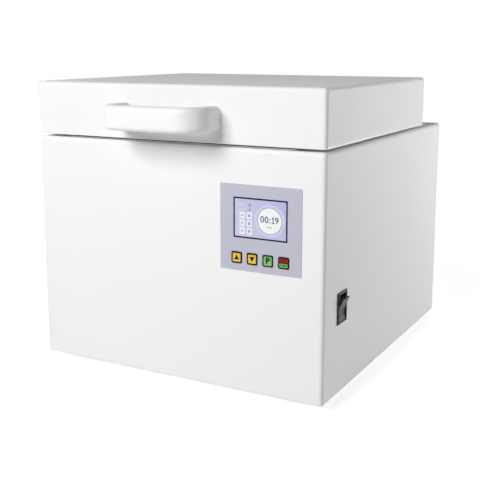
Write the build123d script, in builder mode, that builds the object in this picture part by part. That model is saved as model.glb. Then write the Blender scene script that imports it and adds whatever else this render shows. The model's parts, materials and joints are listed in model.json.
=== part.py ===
"""Bench-top light curing unit for dental laboratory work.

A white folded-steel cabinet holds a polished chamber with twin-tube lamps on its four walls and
under its glass floor. A deep lid, hinged behind the chamber, holds two more lamps and a bow handle.
The front carries a membrane panel with a display and four keys, the right wall a rocker switch, and
the rear panel two fans and the mains inlet with its fuse drawer.

Millimetres. +X is the unit's right as seen by its user, +Y its rear, +Z up. The origin is on the
bench, in the middle of the overall footprint, handle and fan guards included.
"""

import os
from math import cos, radians, sin

from build123d import *

os.makedirs("parts", exist_ok=True)

# ---- Overall size -------------------------------------------------------------------------------
casing_width = 410.0
casing_depth = 440.0
overall_height = 380.0
foot_height = 12.5
lid_height = 68.0
lid_gap = 3.5
handle_reach = 55.0
guard_wire = 1.0
guard_weld = 0.2
guard_reach = 4 * guard_wire - guard_weld

# ---- Sheet metal --------------------------------------------------------------------------------
sheet = 1.5
bend = 5.0
lower_bend = 2.0
casing_flange = 14.0
lid_return = 10.0
seam = 0.5
base_thickness = 2.0

# ---- Chamber ------------------------------------------------------------------------------------
liner_width = 310.0
liner_depth = 310.0
liner_corner = 8.0
liner_wall = 1.0
liner_flange = 12.0
liner_fit = 2.0
glass_thickness = 4.0
glass_fit = 2.0
glass_lamp_gap = 0.5
glass_chamfer = 0.5
rail_leg = 12.0
rail_length = 280.0

# ---- Lamps --------------------------------------------------------------------------------------
tube_radius = 8.75
tube_spacing = 20.5
lamp_length = 217.0
lamp_base_length = 28.0
lamp_base_width = 42.0
lamp_base_thickness = 23.0
lamp_standoff = 15.0
lamp_pin_radius = 1.2
lamp_pin_length = 6.5
lamp_pin_pitch = 9.0
socket_length = 16.0
socket_border = 2.0
clip_width = 8.0
clip_wall = 2.0
clip_fit = 0.2
clip_inset = 45.0
lamp_bridge_inset = 14.0
lamp_base_round = 4.0
lamp_pin_fit = 0.3
lamp_pin_room = 1.0
socket_round = 3.0
lower_lamp_rise = 55.0
upper_lamp_drop = 56.5
lamp_pair_spacing = 130.0

# ---- Lid interior -------------------------------------------------------------------------------
lid_border = 22.5
lid_mouth_step = 5.0
tray_height = 47.0
tray_wall = 1.0
tray_flange = 12.0
seal_width = 8.0
seal_clearance = 0.3

# ---- Lid handle ---------------------------------------------------------------------------------
handle_width = 142.0
handle_thickness = 13.0
handle_height = 30.0
handle_bend = 32.0
handle_rise = 29.5
handle_outer_round = 6.0
handle_inner_round = 3.0
handle_screw_radius = 2.5
handle_screw_length = 15.0
handle_hole_depth = 20.0

# ---- Lid hinges ---------------------------------------------------------------------------------
hinge_spacing = 240.0
hinge_width = 70.0
hinge_middle = 29.0
hinge_play = 0.5
hinge_leaf = 1.5
hinge_leaf_length = 30.0
knuckle_radius = 5.3
knuckle_sink = 0.3
knuckle_lid_gap = 0.7
hinge_pin_radius = 2.5
pin_clearance = 0.05
knuckle_turning_room = 0.9
hinge_pin_end = 0.5
hinge_pin_chamfer = 0.4
hinge_screw_out = 20.0
hinge_screw_length = 6.0
flush_head_radius = 3.0

# ---- Lid interlock ------------------------------------------------------------------------------
interlock_forward = 100.0
magnet_radius = 6.0
magnet_height = 5.0
magnet_chamfer = 0.5
sensor_width = 14.0
sensor_length = 30.0
sensor_height = 8.0
sensor_round = 2.0

# ---- Control panel ------------------------------------------------------------------------------
panel_inset = 81.0
panel_drop = 93.3
panel_width = 106.0
panel_height = 103.0
overlay_thickness = 0.8
overlay_corner = 1.5
window_width = 70.6
window_height = 48.6
window_rise = 12.2
window_fit = 0.1
window_land = 1.0
module_border = 4.0
module_thickness = 4.5
module_corner = 1.0
key_size = 14.0
key_corner = 2.0
key_pitch = 20.5
key_drop = 36.2
key_proud = 0.6
key_gap = 0.2
key_lip = 1.5
key_lip_thickness = 0.8
key_travel = 0.5
key_stem_radius = 2.5
key_stem_gap = 0.1
board_y_offset = 9.6
board_thickness = 1.6
board_trim = 4.0
chip_size = 18.0
chip_height = 4.0
plug_width = 40.0
plug_height = 8.0
plug_depth = 6.0
standoff_radius = 2.5
standoff_inset = 3.5
board_screw_head = 2.0
tact_size = 6.0
tact_height = 4.5
plunger_radius = 1.75
plunger_height = 0.5

# ---- Power switch -------------------------------------------------------------------------------
switch_back = 54.0
switch_rise = 107.0
switch_width = 27.0
switch_height = 39.0
bezel_thickness = 2.0
bezel_lip = 1.6
bezel_chamfer = 0.8
switch_fit = 0.1
switch_depth = 26.0
switch_wall = 1.1
rocker_side_gap = 0.3
rocker_round = 0.8
rocker_skirt = 1.0
rocker_skirt_depth = 1.5
rocker_keel = 4.0
rocker_keel_half = 5.0
terminal_length = 8.0
terminal_width = 6.3
terminal_thickness = 0.8
terminal_pitch = 10.0
rocker_half = 14.0
rocker_tip = 4.4
rocker_middle = 1.4
rocker_pivot_depth = 8.0
rocker_tilt = 12.0
rocker_pin_radius = 1.5

# ---- Rear panel fittings ------------------------------------------------------------------------
fan_size = 80.0
fan_depth = 25.0
fan_rim = 2.0
fan_hole_inset = 4.25
fan_spacing = 150.0
fan_rise = 202.5
fan_hub = 17.0
fan_blades = 7
fan_tip_gap = 1.5
fan_corner = 4.0
fan_shaft_radius = 1.5
fan_screw_radius = 2.0
fan_screw_fit = 0.1
blade_thickness = 1.4
blade_pitch = 40.0
spoke_count = 4
spoke_width = 5.0
stator_thickness = 4.0
rotor_gap = 1.0
rotor_setback = 2.0
rotor_round = 2.0
guard_ring_first = 11.0
guard_overlap = 1.5
guard_ring_count = 4
guard_eye = 3.2
louvre_x = -100.0
louvre_rise = 77.5
louvre_spacing = 60.0
slot_length = 44.0
slot_width = 4.0
slot_pitch = 10.0
slot_rows = 7
inlet_inset = 55.0
inlet_rise = 49.5
inlet_width = 36.0
inlet_height = 52.0
inlet_lip = 2.0
inlet_fit = 0.1
inlet_corner = 3.0
inlet_chamfer = 0.8
inlet_flange_thickness = 2.5
inlet_depth = 28.0
recess_width = 26.0
recess_height = 19.0
recess_depth = 15.0
recess_corner = 4.0
recess_rise = 8.5
inlet_pin_width = 2.0
inlet_pin_height = 4.0
inlet_pin_length = 11.0
inlet_pin_spacing = 14.0
inlet_pin_drop = 1.5
earth_pin_rise = 3.0
drawer_width = 24.0
drawer_height = 11.0
drawer_depth = 25.0
drawer_gap = 0.3
drawer_end_gap = 1.0
inlet_web = 1.7
drawer_wall = 2.0
drawer_front = 3.0
drawer_floor = 1.5
drawer_notch_width = 8.0
drawer_notch_height = 3.0
drawer_notch_depth = 1.0
fuse_radius = 2.6
fuse_rest = 0.1
fuse_pitch = 6.0

# ---- Feet, screws and the parts on the base plate -------------------------------------------------
foot_radius = 13.0
foot_inset = 42.0
foot_taper = 6.0
foot_round = 1.5
foot_screw_radius = 2.0
foot_bore_radius = 5.0
screw_radius = 1.5
screw_head_radius = 2.8
screw_head_height = 1.8
screw_clearance = 0.2
base_screw_length = 6.0
rear_screw_length = 7.0
rear_screw_inset = 40.0
base_screw_inset = 60.0
base_screw_spacing = 200.0
base_slot_spacing = 180.0
base_slot_forward = 115.0
ballast_length = 103.0
ballast_width = 67.0
ballast_height = 31.0
ballast_gap = 12.0
ballast_pitch = 95.0
ballast_back = 27.5
ballast_side_room = 12.0
ballast_rows = 2
ballast_headroom = 33.0
ballast_tab = 7.0
ballast_tab_thickness = 2.0
bay_inset = 60.0
relay_x = -80.0
relay_board_width = 120.0
relay_board_depth = 75.0
relay_stand = 12.0
relay_post_radius = 3.0
relay_post_inset = 6.0
relay_count = 5
relay_pitch = 20.0
relay_width = 15.0
relay_depth = 28.0
relay_height = 16.0
filter_x = 70.0
filter_length = 62.0
filter_width = 46.0
filter_height = 30.0
filter_tab_length = 84.0
filter_tab_width = 20.0
filter_tab_thickness = 1.5
lead_radius = 3.5
lead_wall_gap = 15.0
lead_rest = 0.3
lead_bend = 30.0
lead_drop = 10.0
lead_straight = 30.0
lead_slope = 50.0

# ---- Places worked out from the sizes above --------------------------------------------------------
front_y = handle_reach - (handle_reach + casing_depth + guard_reach) / 2
rear_y = front_y + casing_depth
half_width = casing_width / 2
lid_depth = liner_depth + 2 * lid_border
deck_z = overall_height - lid_height - lid_gap
lid_z = overall_height - lid_height
base_z = foot_height
lid_rear_y = front_y + lid_depth
chamber_y = front_y + lid_depth / 2
base_plate_z = base_z + sheet
base_top_z = base_plate_z + base_thickness
lid_panel_z = lid_z + sheet
tray_z = lid_panel_z + sheet
hinge_y = lid_rear_y + knuckle_radius + knuckle_lid_gap
hinge_z = deck_z + hinge_leaf + knuckle_radius - knuckle_sink
knuckle_relief = knuckle_radius + knuckle_turning_room
liner_floor_z = base_top_z + ballast_height + ballast_headroom
rail_top_z = liner_floor_z + lamp_standoff + lamp_base_thickness / 2 + glass_lamp_gap
glass_top_z = rail_top_z + glass_thickness
lower_lamp_z = glass_top_z + lower_lamp_rise
upper_lamp_z = deck_z - upper_lamp_drop
handle_z = lid_z + handle_rise
panel_x = half_width - panel_inset
panel_z = deck_z - panel_drop
window_z = panel_z + window_rise
key_z = panel_z - key_drop
switch_y = front_y + switch_back
switch_z = base_z + switch_rise
fan_z = base_z + fan_rise
fan_bore = fan_size / 2 - fan_rim
fan_pitch = fan_size - 2 * fan_hole_inset
louvre_z = base_z + louvre_rise
inlet_x = half_width - inlet_inset
inlet_z = base_z + inlet_rise
inlet_back_y = rear_y - inlet_depth
board_y = front_y + board_y_offset
hole_radius = screw_radius + screw_clearance
lid_mouth_width = liner_width - 2 * lid_mouth_step
lid_mouth_depth = liner_depth - 2 * lid_mouth_step
interlock_x = (liner_width / 2 + half_width) / 2
lead_x = half_width - sheet - lead_wall_gap - lead_radius


def write(piece, name):
    """Labels a finished piece and writes its STEP file."""
    piece.part.label = name
    export_step(piece.part, f"parts/{name}.step")


def folded_block(width, y_low, y_high, z_low, z_high, upper, lower, rear_bends):
    """A block with its upper and upright edges rolled over, as a folded sheet's are."""
    with BuildPart() as block:
        with BuildSketch(Plane.XY.offset(z_low)):
            with Locations((0, (y_low + y_high) / 2)):
                Rectangle(width, y_high - y_low)
        extrude(amount=z_high - z_low)
        uprights = block.edges().filter_by(Axis.Z).sort_by(Axis.Y)
        rims = block.faces().sort_by(Axis.Z)[-1].edges().sort_by(Axis.Y)
        rolled = uprights + rims if rear_bends else uprights[:2] + rims[:-1]
        fillet(rolled, upper)
        if lower:
            foot = block.faces().sort_by(Axis.Z)[0].edges().sort_by(Axis.Y)
            fillet(foot if rear_bends else foot[:-1], lower)
    return block.part


def drill(places, radius, depth):
    """Cuts a round hole through each place, depth each way from it."""
    with Locations(*[place.location for place in places]):
        Cylinder(radius, 2 * depth, mode=Mode.SUBTRACT)


def pan_screws(places, length, radius=screw_radius):
    """Pan-head screws whose heads sit on each place and face along its normal."""
    with BuildPart() as group:
        with Locations(*[place.location for place in places]):
            Cylinder(
                screw_head_radius * radius / screw_radius,
                screw_head_height,
                align=(Align.CENTER, Align.CENTER, Align.MIN),
            )
            Cylinder(radius, length, align=(Align.CENTER, Align.CENTER, Align.MAX))
    return group


def facing(x, y, z, normal, x_dir=None):
    """A plane at a point, with its normal along the given direction."""
    return Plane(origin=(x, y, z), x_dir=x_dir, z_dir=normal)


# ---- Places of the screws -------------------------------------------------------------------------
flange_mid = casing_flange / 2
rear_screw_places = [
    facing(x, rear_y, z, (0, 1, 0))
    for x in (-half_width + flange_mid, half_width - flange_mid)
    for z in (base_z + rear_screw_inset, (base_z + deck_z) / 2, deck_z - rear_screw_inset)
] + [
    facing(x, rear_y, z, (0, 1, 0))
    for x in (-casing_width / 4, casing_width / 4)
    for z in (base_z + flange_mid, deck_z - flange_mid)
]
base_screw_places = [
    facing(x, y, base_z, (0, 0, -1))
    for x in (-half_width + flange_mid, half_width - flange_mid)
    for y in (front_y + base_screw_inset, rear_y - base_screw_inset)
] + [
    facing(x, front_y + flange_mid, base_z, (0, 0, -1))
    for x in (-base_screw_spacing / 2, base_screw_spacing / 2)
]
foot_places = [
    (x, y)
    for x in (-half_width + foot_inset, half_width - foot_inset)
    for y in (front_y + foot_inset, rear_y - foot_inset)
]
hinge_places = [-hinge_spacing / 2, hinge_spacing / 2]
hinge_screw_steps = [-hinge_width / 3, 0, hinge_width / 3]
hinge_base_screw_places = [
    facing(x + step, hinge_y + hinge_screw_out, deck_z + hinge_leaf, (0, 0, 1))
    for x in hinge_places
    for step in hinge_screw_steps
]
hinge_lid_screw_places = [
    facing(x + step, lid_rear_y + hinge_leaf, hinge_z + hinge_screw_out, (0, 1, 0))
    for x in hinge_places
    for step in hinge_screw_steps
]
handle_leg_x = (handle_width - handle_thickness) / 2
handle_screw_places = [
    facing(x, front_y + sheet, handle_z, (0, 1, 0)) for x in (-handle_leg_x, handle_leg_x)
]

# ---- Cabinet: outer casing --------------------------------------------------------------------------
key_names = ("key_up", "key_down", "key_program", "key_start_stop")
key_places = [
    (panel_x + (n - (len(key_names) - 1) / 2) * key_pitch, key_z)
    for n in range(len(key_names))
]
key_hole = key_size + 2 * key_gap
switch_hole_width = switch_width - 2 * bezel_lip - 2 * switch_wall
switch_body_width = switch_hole_width + 2 * switch_wall
switch_body_height = switch_height - 2 * bezel_lip
panel_cut = 4 * sheet
module_width = window_width + 2 * module_border
module_height = window_height + 2 * module_border

casing_skin = folded_block(
    casing_width, front_y, rear_y - sheet, base_z, deck_z, bend, lower_bend, False
)
casing_space = folded_block(
    casing_width - 2 * sheet,
    front_y + sheet,
    rear_y - 2 * sheet,
    base_z + sheet,
    deck_z - sheet,
    bend - sheet,
    0,
    False,
)
with BuildPart() as outer_casing:
    add(casing_skin)
    add(casing_space, mode=Mode.SUBTRACT)
    # Rear opening inside its flanges, with the panel screws' holes round it.
    with Locations((0, rear_y - 2 * sheet, (base_z + deck_z) / 2)):
        Box(
            casing_width - 2 * casing_flange,
            4 * sheet,
            deck_z - base_z - 2 * casing_flange,
            mode=Mode.SUBTRACT,
        )
    # Underside, left as a flange for the base plate.
    with Locations((0, (front_y + rear_y) / 2, base_z)):
        Box(
            casing_width - 2 * casing_flange,
            casing_depth - 2 * casing_flange,
            4 * sheet,
            mode=Mode.SUBTRACT,
        )
    # Mouth of the chamber in the deck.
    with Locations((0, chamber_y, deck_z)):
        Box(
            liner_width + 2 * liner_wall + 2 * liner_fit,
            liner_depth + 2 * liner_wall + 2 * liner_fit,
            4 * sheet,
            mode=Mode.SUBTRACT,
        )
    # Window and key holes in the front, switch hole in the right wall.
    with Locations((panel_x, front_y, window_z)):
        Box(
            window_width - 2 * window_land,
            panel_cut,
            window_height - 2 * window_land,
            mode=Mode.SUBTRACT,
        )
    with Locations(*[(x, front_y, z) for x, z in key_places]):
        Box(key_hole, panel_cut, key_hole, mode=Mode.SUBTRACT)
    with Locations((half_width, switch_y, switch_z)):
        Box(
            4 * sheet,
            switch_body_width + 2 * switch_fit,
            switch_body_height + 2 * switch_fit,
            mode=Mode.SUBTRACT,
        )
    drill(rear_screw_places, hole_radius, 4 * sheet)
    drill(base_screw_places, hole_radius, 4 * sheet)
    drill(hinge_base_screw_places, hole_radius, 4 * sheet)
write(outer_casing, "outer_casing")

# ---- Cabinet: base plate and feet ------------------------------------------------------------------
with BuildPart() as base_plate:
    with BuildSketch(Plane.XY.offset(base_plate_z)):
        with Locations((0, (front_y + rear_y - sheet) / 2)):
            Rectangle(
                casing_width - 2 * sheet - 2 * seam,
                casing_depth - 3 * sheet - 2 * seam,
            )
    extrude(amount=base_thickness)
    fillet(base_plate.edges().filter_by(Axis.Z), bend - sheet)
    with BuildSketch(Plane.XY.offset(base_plate_z)):
        with Locations((0, chamber_y - base_slot_forward)):
            with GridLocations(base_slot_spacing, slot_pitch, 2, slot_rows):
                SlotOverall(slot_length, slot_width)
    extrude(amount=base_thickness, mode=Mode.SUBTRACT)
    drill(base_screw_places, hole_radius, 4 * sheet)
    with Locations(*[(x, y, base_plate_z) for x, y in foot_places]):
        Cylinder(
            foot_screw_radius + screw_clearance, 4 * base_thickness, mode=Mode.SUBTRACT
        )
write(base_plate, "base_plate")

with BuildPart() as feet:
    with BuildSketch(Plane.XY.offset(base_plate_z)):
        with Locations(*foot_places):
            Circle(foot_radius)
    extrude(amount=-base_plate_z, taper=foot_taper)
    fillet(feet.edges().group_by(Axis.Z)[0], foot_round)
    with Locations(*[(x, y, 0) for x, y in foot_places]):
        Cylinder(
            foot_bore_radius,
            foot_height / 2,
            align=(Align.CENTER, Align.CENTER, Align.MIN),
            mode=Mode.SUBTRACT,
        )
        Cylinder(
            foot_screw_radius + screw_clearance,
            base_plate_z,
            align=(Align.CENTER, Align.CENTER, Align.MIN),
            mode=Mode.SUBTRACT,
        )
write(feet, "feet")

foot_screws = pan_screws(
    [facing(x, y, foot_height / 2, (0, 0, -1)) for x, y in foot_places],
    foot_height,
    foot_screw_radius,
)
write(foot_screws, "foot_screws")
base_screws = pan_screws(base_screw_places, base_screw_length)
write(base_screws, "base_screws")

# ---- Cabinet: rear panel ---------------------------------------------------------------------------
fan_centres = [(-fan_spacing / 2, fan_z), (fan_spacing / 2, fan_z)]
fan_corners = [
    (side_x * fan_pitch / 2, side_z * fan_pitch / 2) for side_x in (-1, 1) for side_z in (-1, 1)
]
fan_screw_places = [
    facing(x + dx, rear_y, z + dz, (0, 1, 0)) for x, z in fan_centres for dx, dz in fan_corners
]
inlet_body_width = inlet_width - 2 * inlet_lip
inlet_body_height = inlet_height - 2 * inlet_lip
rear_width = casing_width - 2 * seam
rear_bottom = base_z + seam
rear_top = deck_z - seam
with BuildPart() as rear_panel:
    with Locations((0, rear_y - sheet / 2, (rear_bottom + rear_top) / 2)):
        Box(rear_width, sheet, rear_top - rear_bottom)
    fillet(rear_panel.edges().filter_by(Axis.Y), bend)
    drill(
        [facing(x, rear_y, z, (0, 1, 0)) for x, z in fan_centres], fan_bore, 2 * sheet
    )
    drill(fan_screw_places, fan_screw_radius + screw_clearance, 2 * sheet)
    drill(rear_screw_places, hole_radius, 2 * sheet)
    with Locations((inlet_x, rear_y, inlet_z)):
        Box(
            inlet_body_width + 2 * inlet_fit,
            4 * sheet,
            inlet_body_height + 2 * inlet_fit,
            mode=Mode.SUBTRACT,
        )
    with BuildSketch(facing(louvre_x, rear_y, louvre_z, (0, 1, 0), (1, 0, 0))):
        with GridLocations(louvre_spacing, slot_pitch, 2, slot_rows):
            SlotOverall(slot_length, slot_width)
    extrude(amount=-2 * sheet, mode=Mode.SUBTRACT)
write(rear_panel, "rear_panel")
rear_screws = pan_screws(rear_screw_places, rear_screw_length)
write(rear_screws, "rear_screws")

# ---- Chamber: polished liner, rails and glass floor -----------------------------------------------
with BuildPart() as chamber_liner:
    with BuildSketch(Plane.XY.offset(liner_floor_z - liner_wall)):
        with Locations((0, chamber_y)):
            RectangleRounded(
                liner_width + 2 * liner_wall, liner_depth + 2 * liner_wall, liner_corner
            )
    extrude(amount=deck_z - liner_floor_z + liner_wall)
    with BuildSketch(Plane.XY.offset(deck_z)):
        with Locations((0, chamber_y)):
            RectangleRounded(
                liner_width + 2 * liner_flange,
                liner_depth + 2 * liner_flange,
                liner_corner,
            )
    extrude(amount=liner_wall)
    with BuildSketch(Plane.XY.offset(liner_floor_z)):
        with Locations((0, chamber_y)):
            RectangleRounded(liner_width, liner_depth, liner_corner - liner_wall)
    extrude(amount=deck_z + liner_wall - liner_floor_z, mode=Mode.SUBTRACT)
write(chamber_liner, "chamber_liner")

with BuildPart() as glass_rails:
    for side in (-1, 1):
        wall_x = side * liner_width / 2
        with Locations(
            (wall_x - side * rail_leg / 2, chamber_y, rail_top_z - sheet / 2)
        ):
            Box(rail_leg, rail_length, sheet)
        with Locations(
            (wall_x - side * sheet / 2, chamber_y, rail_top_z - rail_leg / 2)
        ):
            Box(sheet, rail_length, rail_leg)
write(glass_rails, "glass_rails")

with BuildPart() as chamber_glass:
    with BuildSketch(Plane.XY.offset(rail_top_z)):
        with Locations((0, chamber_y)):
            RectangleRounded(
                liner_width - 2 * glass_fit, liner_depth - 2 * glass_fit, liner_corner
            )
    extrude(amount=glass_thickness)
    chamfer(chamber_glass.edges().group_by(Axis.Z)[-1], glass_chamfer)
write(chamber_glass, "chamber_glass")

# ---- Lamps -------------------------------------------------------------------------------------------
# Each lamp lies along its plane's X, with its socket at the +X end and its wall below it.
tube_offsets = (-tube_spacing / 2, tube_spacing / 2)
far_end = -lamp_length / 2
near_end = lamp_length / 2
pin_offsets = [(n - 1.5) * lamp_pin_pitch for n in range(4)]
clip_x = far_end + clip_inset

with BuildPart() as lamp_form:
    tube_reach = lamp_length - lamp_base_length / 2 - tube_radius
    for offset_y in tube_offsets:
        with Locations((far_end + tube_radius, offset_y, 0)):
            Cylinder(
                tube_radius,
                tube_reach,
                rotation=(0, 90, 0),
                align=(Align.CENTER, Align.CENTER, Align.MIN),
            )
            Sphere(tube_radius)
    with Locations((far_end + lamp_bridge_inset, 0, 0)):
        Cylinder(tube_radius / 2, tube_spacing, rotation=(90, 0, 0))
    with Locations((near_end - lamp_base_length / 2, 0, 0)):
        Box(lamp_base_length, lamp_base_width, lamp_base_thickness)
    fillet(
        lamp_form.edges()
        .filter_by(Axis.X)
        .filter_by_position(Axis.X, near_end - lamp_base_length, near_end),
        lamp_base_round,
    )
    with Locations(*[(near_end, y, 0) for y in pin_offsets]):
        Cylinder(
            lamp_pin_radius,
            lamp_pin_length,
            rotation=(0, 90, 0),
            align=(Align.CENTER, Align.CENTER, Align.MIN),
        )

with BuildPart() as socket_form:
    socket_top = lamp_base_thickness / 2
    with Locations(
        (near_end + socket_length / 2, 0, (socket_top - lamp_standoff) / 2)
    ):
        Box(socket_length, lamp_base_width + 2 * socket_border, socket_top + lamp_standoff)
    fillet(socket_form.edges().filter_by(Axis.X).group_by(Axis.Z)[-1], socket_round)
    with Locations(*[(near_end, y, 0) for y in pin_offsets]):
        Cylinder(
            lamp_pin_radius + lamp_pin_fit,
            lamp_pin_length + lamp_pin_room,
            rotation=(0, 90, 0),
            align=(Align.CENTER, Align.CENTER, Align.MIN),
            mode=Mode.SUBTRACT,
        )

with BuildPart() as clip_form:
    with Locations((clip_x, 0, -lamp_standoff / 2)):
        Box(clip_width, tube_spacing + 2 * (tube_radius + clip_wall), lamp_standoff)
    with Locations(*[(clip_x, y, 0) for y in tube_offsets]):
        Cylinder(
            tube_radius + clip_fit,
            2 * clip_width,
            rotation=(0, 90, 0),
            mode=Mode.SUBTRACT,
        )

lamp_shift = -socket_length / 2
side_reach = liner_width / 2 - lamp_standoff
end_reach = liner_depth / 2 - lamp_standoff
wall_heights = (lower_lamp_z, upper_lamp_z)
pair_offsets = (-lamp_pair_spacing / 2, lamp_pair_spacing / 2)
lamp_places = {
    "front_lamps": [
        facing(lamp_shift, chamber_y - end_reach, z, (0, 1, 0), (1, 0, 0))
        for z in wall_heights
    ],
    "rear_lamps": [
        facing(lamp_shift, chamber_y + end_reach, z, (0, -1, 0), (1, 0, 0))
        for z in wall_heights
    ],
    "left_lamps": [
        facing(-side_reach, chamber_y + lamp_shift, z, (1, 0, 0), (0, 1, 0))
        for z in wall_heights
    ],
    "right_lamps": [
        facing(side_reach, chamber_y + lamp_shift, z, (-1, 0, 0), (0, 1, 0))
        for z in wall_heights
    ],
    "floor_lamps": [
        facing(
            lamp_shift,
            chamber_y + y,
            liner_floor_z + lamp_standoff,
            (0, 0, 1),
            (1, 0, 0),
        )
        for y in pair_offsets
    ],
}
chamber_lamp_places = [place for places in lamp_places.values() for place in places]


def copies(form, places):
    """The same form standing at each place."""
    with BuildPart() as group:
        with Locations(*[place.location for place in places]):
            add(form.part)
    return group


for lamp_name, places in lamp_places.items():
    write(copies(lamp_form, places), lamp_name)
write(copies(socket_form, chamber_lamp_places), "lamp_sockets")
write(copies(clip_form, chamber_lamp_places), "lamp_clips")

# ---- Lid: shell, inner panel, reflector, seal and lamps ---------------------------------------------
lid_skin = folded_block(
    casing_width, front_y, lid_rear_y, lid_z, overall_height, bend, lower_bend / 2, True
)
lid_space = folded_block(
    casing_width - 2 * sheet,
    front_y + sheet,
    lid_rear_y - sheet,
    lid_z + sheet,
    overall_height - sheet,
    bend - sheet,
    0,
    True,
)
with BuildPart() as lid_shell:
    add(lid_skin)
    add(lid_space, mode=Mode.SUBTRACT)
    with Locations((0, chamber_y, lid_z)):
        Box(
            casing_width - 2 * lid_return,
            lid_depth - 2 * lid_return,
            4 * sheet,
            mode=Mode.SUBTRACT,
        )
    drill(handle_screw_places, handle_screw_radius + screw_clearance, 2 * sheet)
    drill(hinge_lid_screw_places, hole_radius, 4 * sheet)
write(lid_shell, "lid_shell")

with BuildPart() as lid_inner_panel:
    with BuildSketch(Plane.XY.offset(lid_panel_z)):
        with Locations((0, chamber_y)):
            RectangleRounded(
                casing_width - 2 * sheet - 2 * seam,
                lid_depth - 2 * sheet - 2 * seam,
                bend - sheet,
            )
            RectangleRounded(lid_mouth_width, lid_mouth_depth, liner_corner, mode=Mode.SUBTRACT)
    extrude(amount=sheet)
write(lid_inner_panel, "lid_inner_panel")

with BuildPart() as lid_reflector:
    with BuildSketch(Plane.XY.offset(tray_z)):
        with Locations((0, chamber_y)):
            RectangleRounded(
                lid_mouth_width + 2 * tray_flange, lid_mouth_depth + 2 * tray_flange, liner_corner
            )
    extrude(amount=tray_wall)
    with BuildSketch(Plane.XY.offset(tray_z)):
        with Locations((0, chamber_y)):
            RectangleRounded(lid_mouth_width, lid_mouth_depth, liner_corner)
    extrude(amount=tray_height)
    with BuildSketch(Plane.XY.offset(tray_z)):
        with Locations((0, chamber_y)):
            RectangleRounded(
                lid_mouth_width - 2 * tray_wall,
                lid_mouth_depth - 2 * tray_wall,
                liner_corner - tray_wall,
            )
    extrude(amount=tray_height - tray_wall, mode=Mode.SUBTRACT)
write(lid_reflector, "lid_reflector")

seal_z = deck_z + liner_wall + seal_clearance
seal_inner_width = liner_width + liner_flange - seal_width
seal_inner_depth = liner_depth + liner_flange - seal_width
with BuildPart() as lid_seal:
    with BuildSketch(Plane.XY.offset(seal_z)):
        with Locations((0, chamber_y)):
            RectangleRounded(
                seal_inner_width + 2 * seal_width,
                seal_inner_depth + 2 * seal_width,
                liner_corner + seal_width,
            )
            RectangleRounded(
                seal_inner_width, seal_inner_depth, liner_corner, mode=Mode.SUBTRACT
            )
    extrude(amount=lid_panel_z - seal_z)
write(lid_seal, "lid_seal")

tray_top_z = tray_z + tray_height - tray_wall
lid_lamp_places = [
    facing(
        lamp_shift, chamber_y + y, tray_top_z - lamp_standoff, (0, 0, -1), (1, 0, 0)
    )
    for y in pair_offsets
]
write(copies(lamp_form, lid_lamp_places), "lid_lamps")
write(copies(socket_form, lid_lamp_places), "lid_lamp_sockets")
write(copies(clip_form, lid_lamp_places), "lid_lamp_clips")

# ---- Lid: bow handle ---------------------------------------------------------------------------------
handle_mid_y = front_y - handle_reach + handle_thickness / 2
with BuildPart() as lid_handle:
    with BuildLine(Plane.XY.offset(handle_z)):
        FilletPolyline(
            (-handle_leg_x, front_y),
            (-handle_leg_x, handle_mid_y),
            (handle_leg_x, handle_mid_y),
            (handle_leg_x, front_y),
            radius=handle_bend - handle_thickness / 2,
        )
    handle_end = facing(-handle_leg_x, front_y, handle_z, (0, -1, 0), (1, 0, 0))
    with BuildSketch(handle_end) as section:
        Rectangle(handle_thickness, handle_height)
        fillet(section.vertices().group_by(Axis.X)[0], handle_outer_round)
        fillet(section.vertices().group_by(Axis.X)[-1], handle_inner_round)
    sweep()
    drill(handle_screw_places, handle_screw_radius + pin_clearance, handle_hole_depth)
write(lid_handle, "lid_handle")
handle_screws = pan_screws(handle_screw_places, handle_screw_length, handle_screw_radius)
write(handle_screws, "handle_screws")

# ---- Lid hinges ----------------------------------------------------------------------------------------
outer_knuckle = (hinge_width - hinge_middle) / 2 - hinge_play


def hinge_knuckles(centre_x, parts):
    """Knuckles on the hinge axis, each given as its middle and its length along X."""
    for middle, length in parts:
        with Locations((centre_x + middle, hinge_y, hinge_z)):
            Cylinder(knuckle_radius, length, rotation=(0, 90, 0))


def bore_hinges():
    """Cuts the pin's bore through both hinges."""
    for centre_x in hinge_places:
        with Locations((centre_x, hinge_y, hinge_z)):
            Cylinder(
                hinge_pin_radius + pin_clearance,
                2 * hinge_width,
                rotation=(0, 90, 0),
                mode=Mode.SUBTRACT,
            )


def flush_holes(places):
    """Countersunk holes through a leaf whose outer face holds the places."""
    with Locations(*[place.location for place in places]):
        Cone(
            hole_radius,
            flush_head_radius + pin_clearance,
            hinge_leaf,
            align=(Align.CENTER, Align.CENTER, Align.MAX),
            mode=Mode.SUBTRACT,
        )


def flush_screws(places, length):
    """Countersunk screws lying flush in a leaf."""
    with BuildPart() as group:
        with Locations(*[place.location for place in places]):
            Cone(
                screw_radius,
                flush_head_radius,
                hinge_leaf,
                align=(Align.CENTER, Align.CENTER, Align.MAX),
            )
            Cylinder(screw_radius, length, align=(Align.CENTER, Align.CENTER, Align.MAX))
    return group


knuckle_step = (hinge_middle + outer_knuckle) / 2 + hinge_play
with BuildPart() as hinge_base_leaves:
    for centre_x in hinge_places:
        with Locations(
            (centre_x, hinge_y + hinge_leaf_length / 2, deck_z + hinge_leaf / 2)
        ):
            Box(hinge_width, hinge_leaf_length, hinge_leaf)
        with Locations((centre_x, hinge_y, deck_z + hinge_leaf / 2)):
            Box(
                hinge_middle + 2 * hinge_play,
                2 * knuckle_relief,
                2 * hinge_leaf,
                mode=Mode.SUBTRACT,
            )
        hinge_knuckles(
            centre_x, [(-knuckle_step, outer_knuckle), (knuckle_step, outer_knuckle)]
        )
    bore_hinges()
    flush_holes(hinge_base_screw_places)
write(hinge_base_leaves, "hinge_base_leaves")

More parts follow.
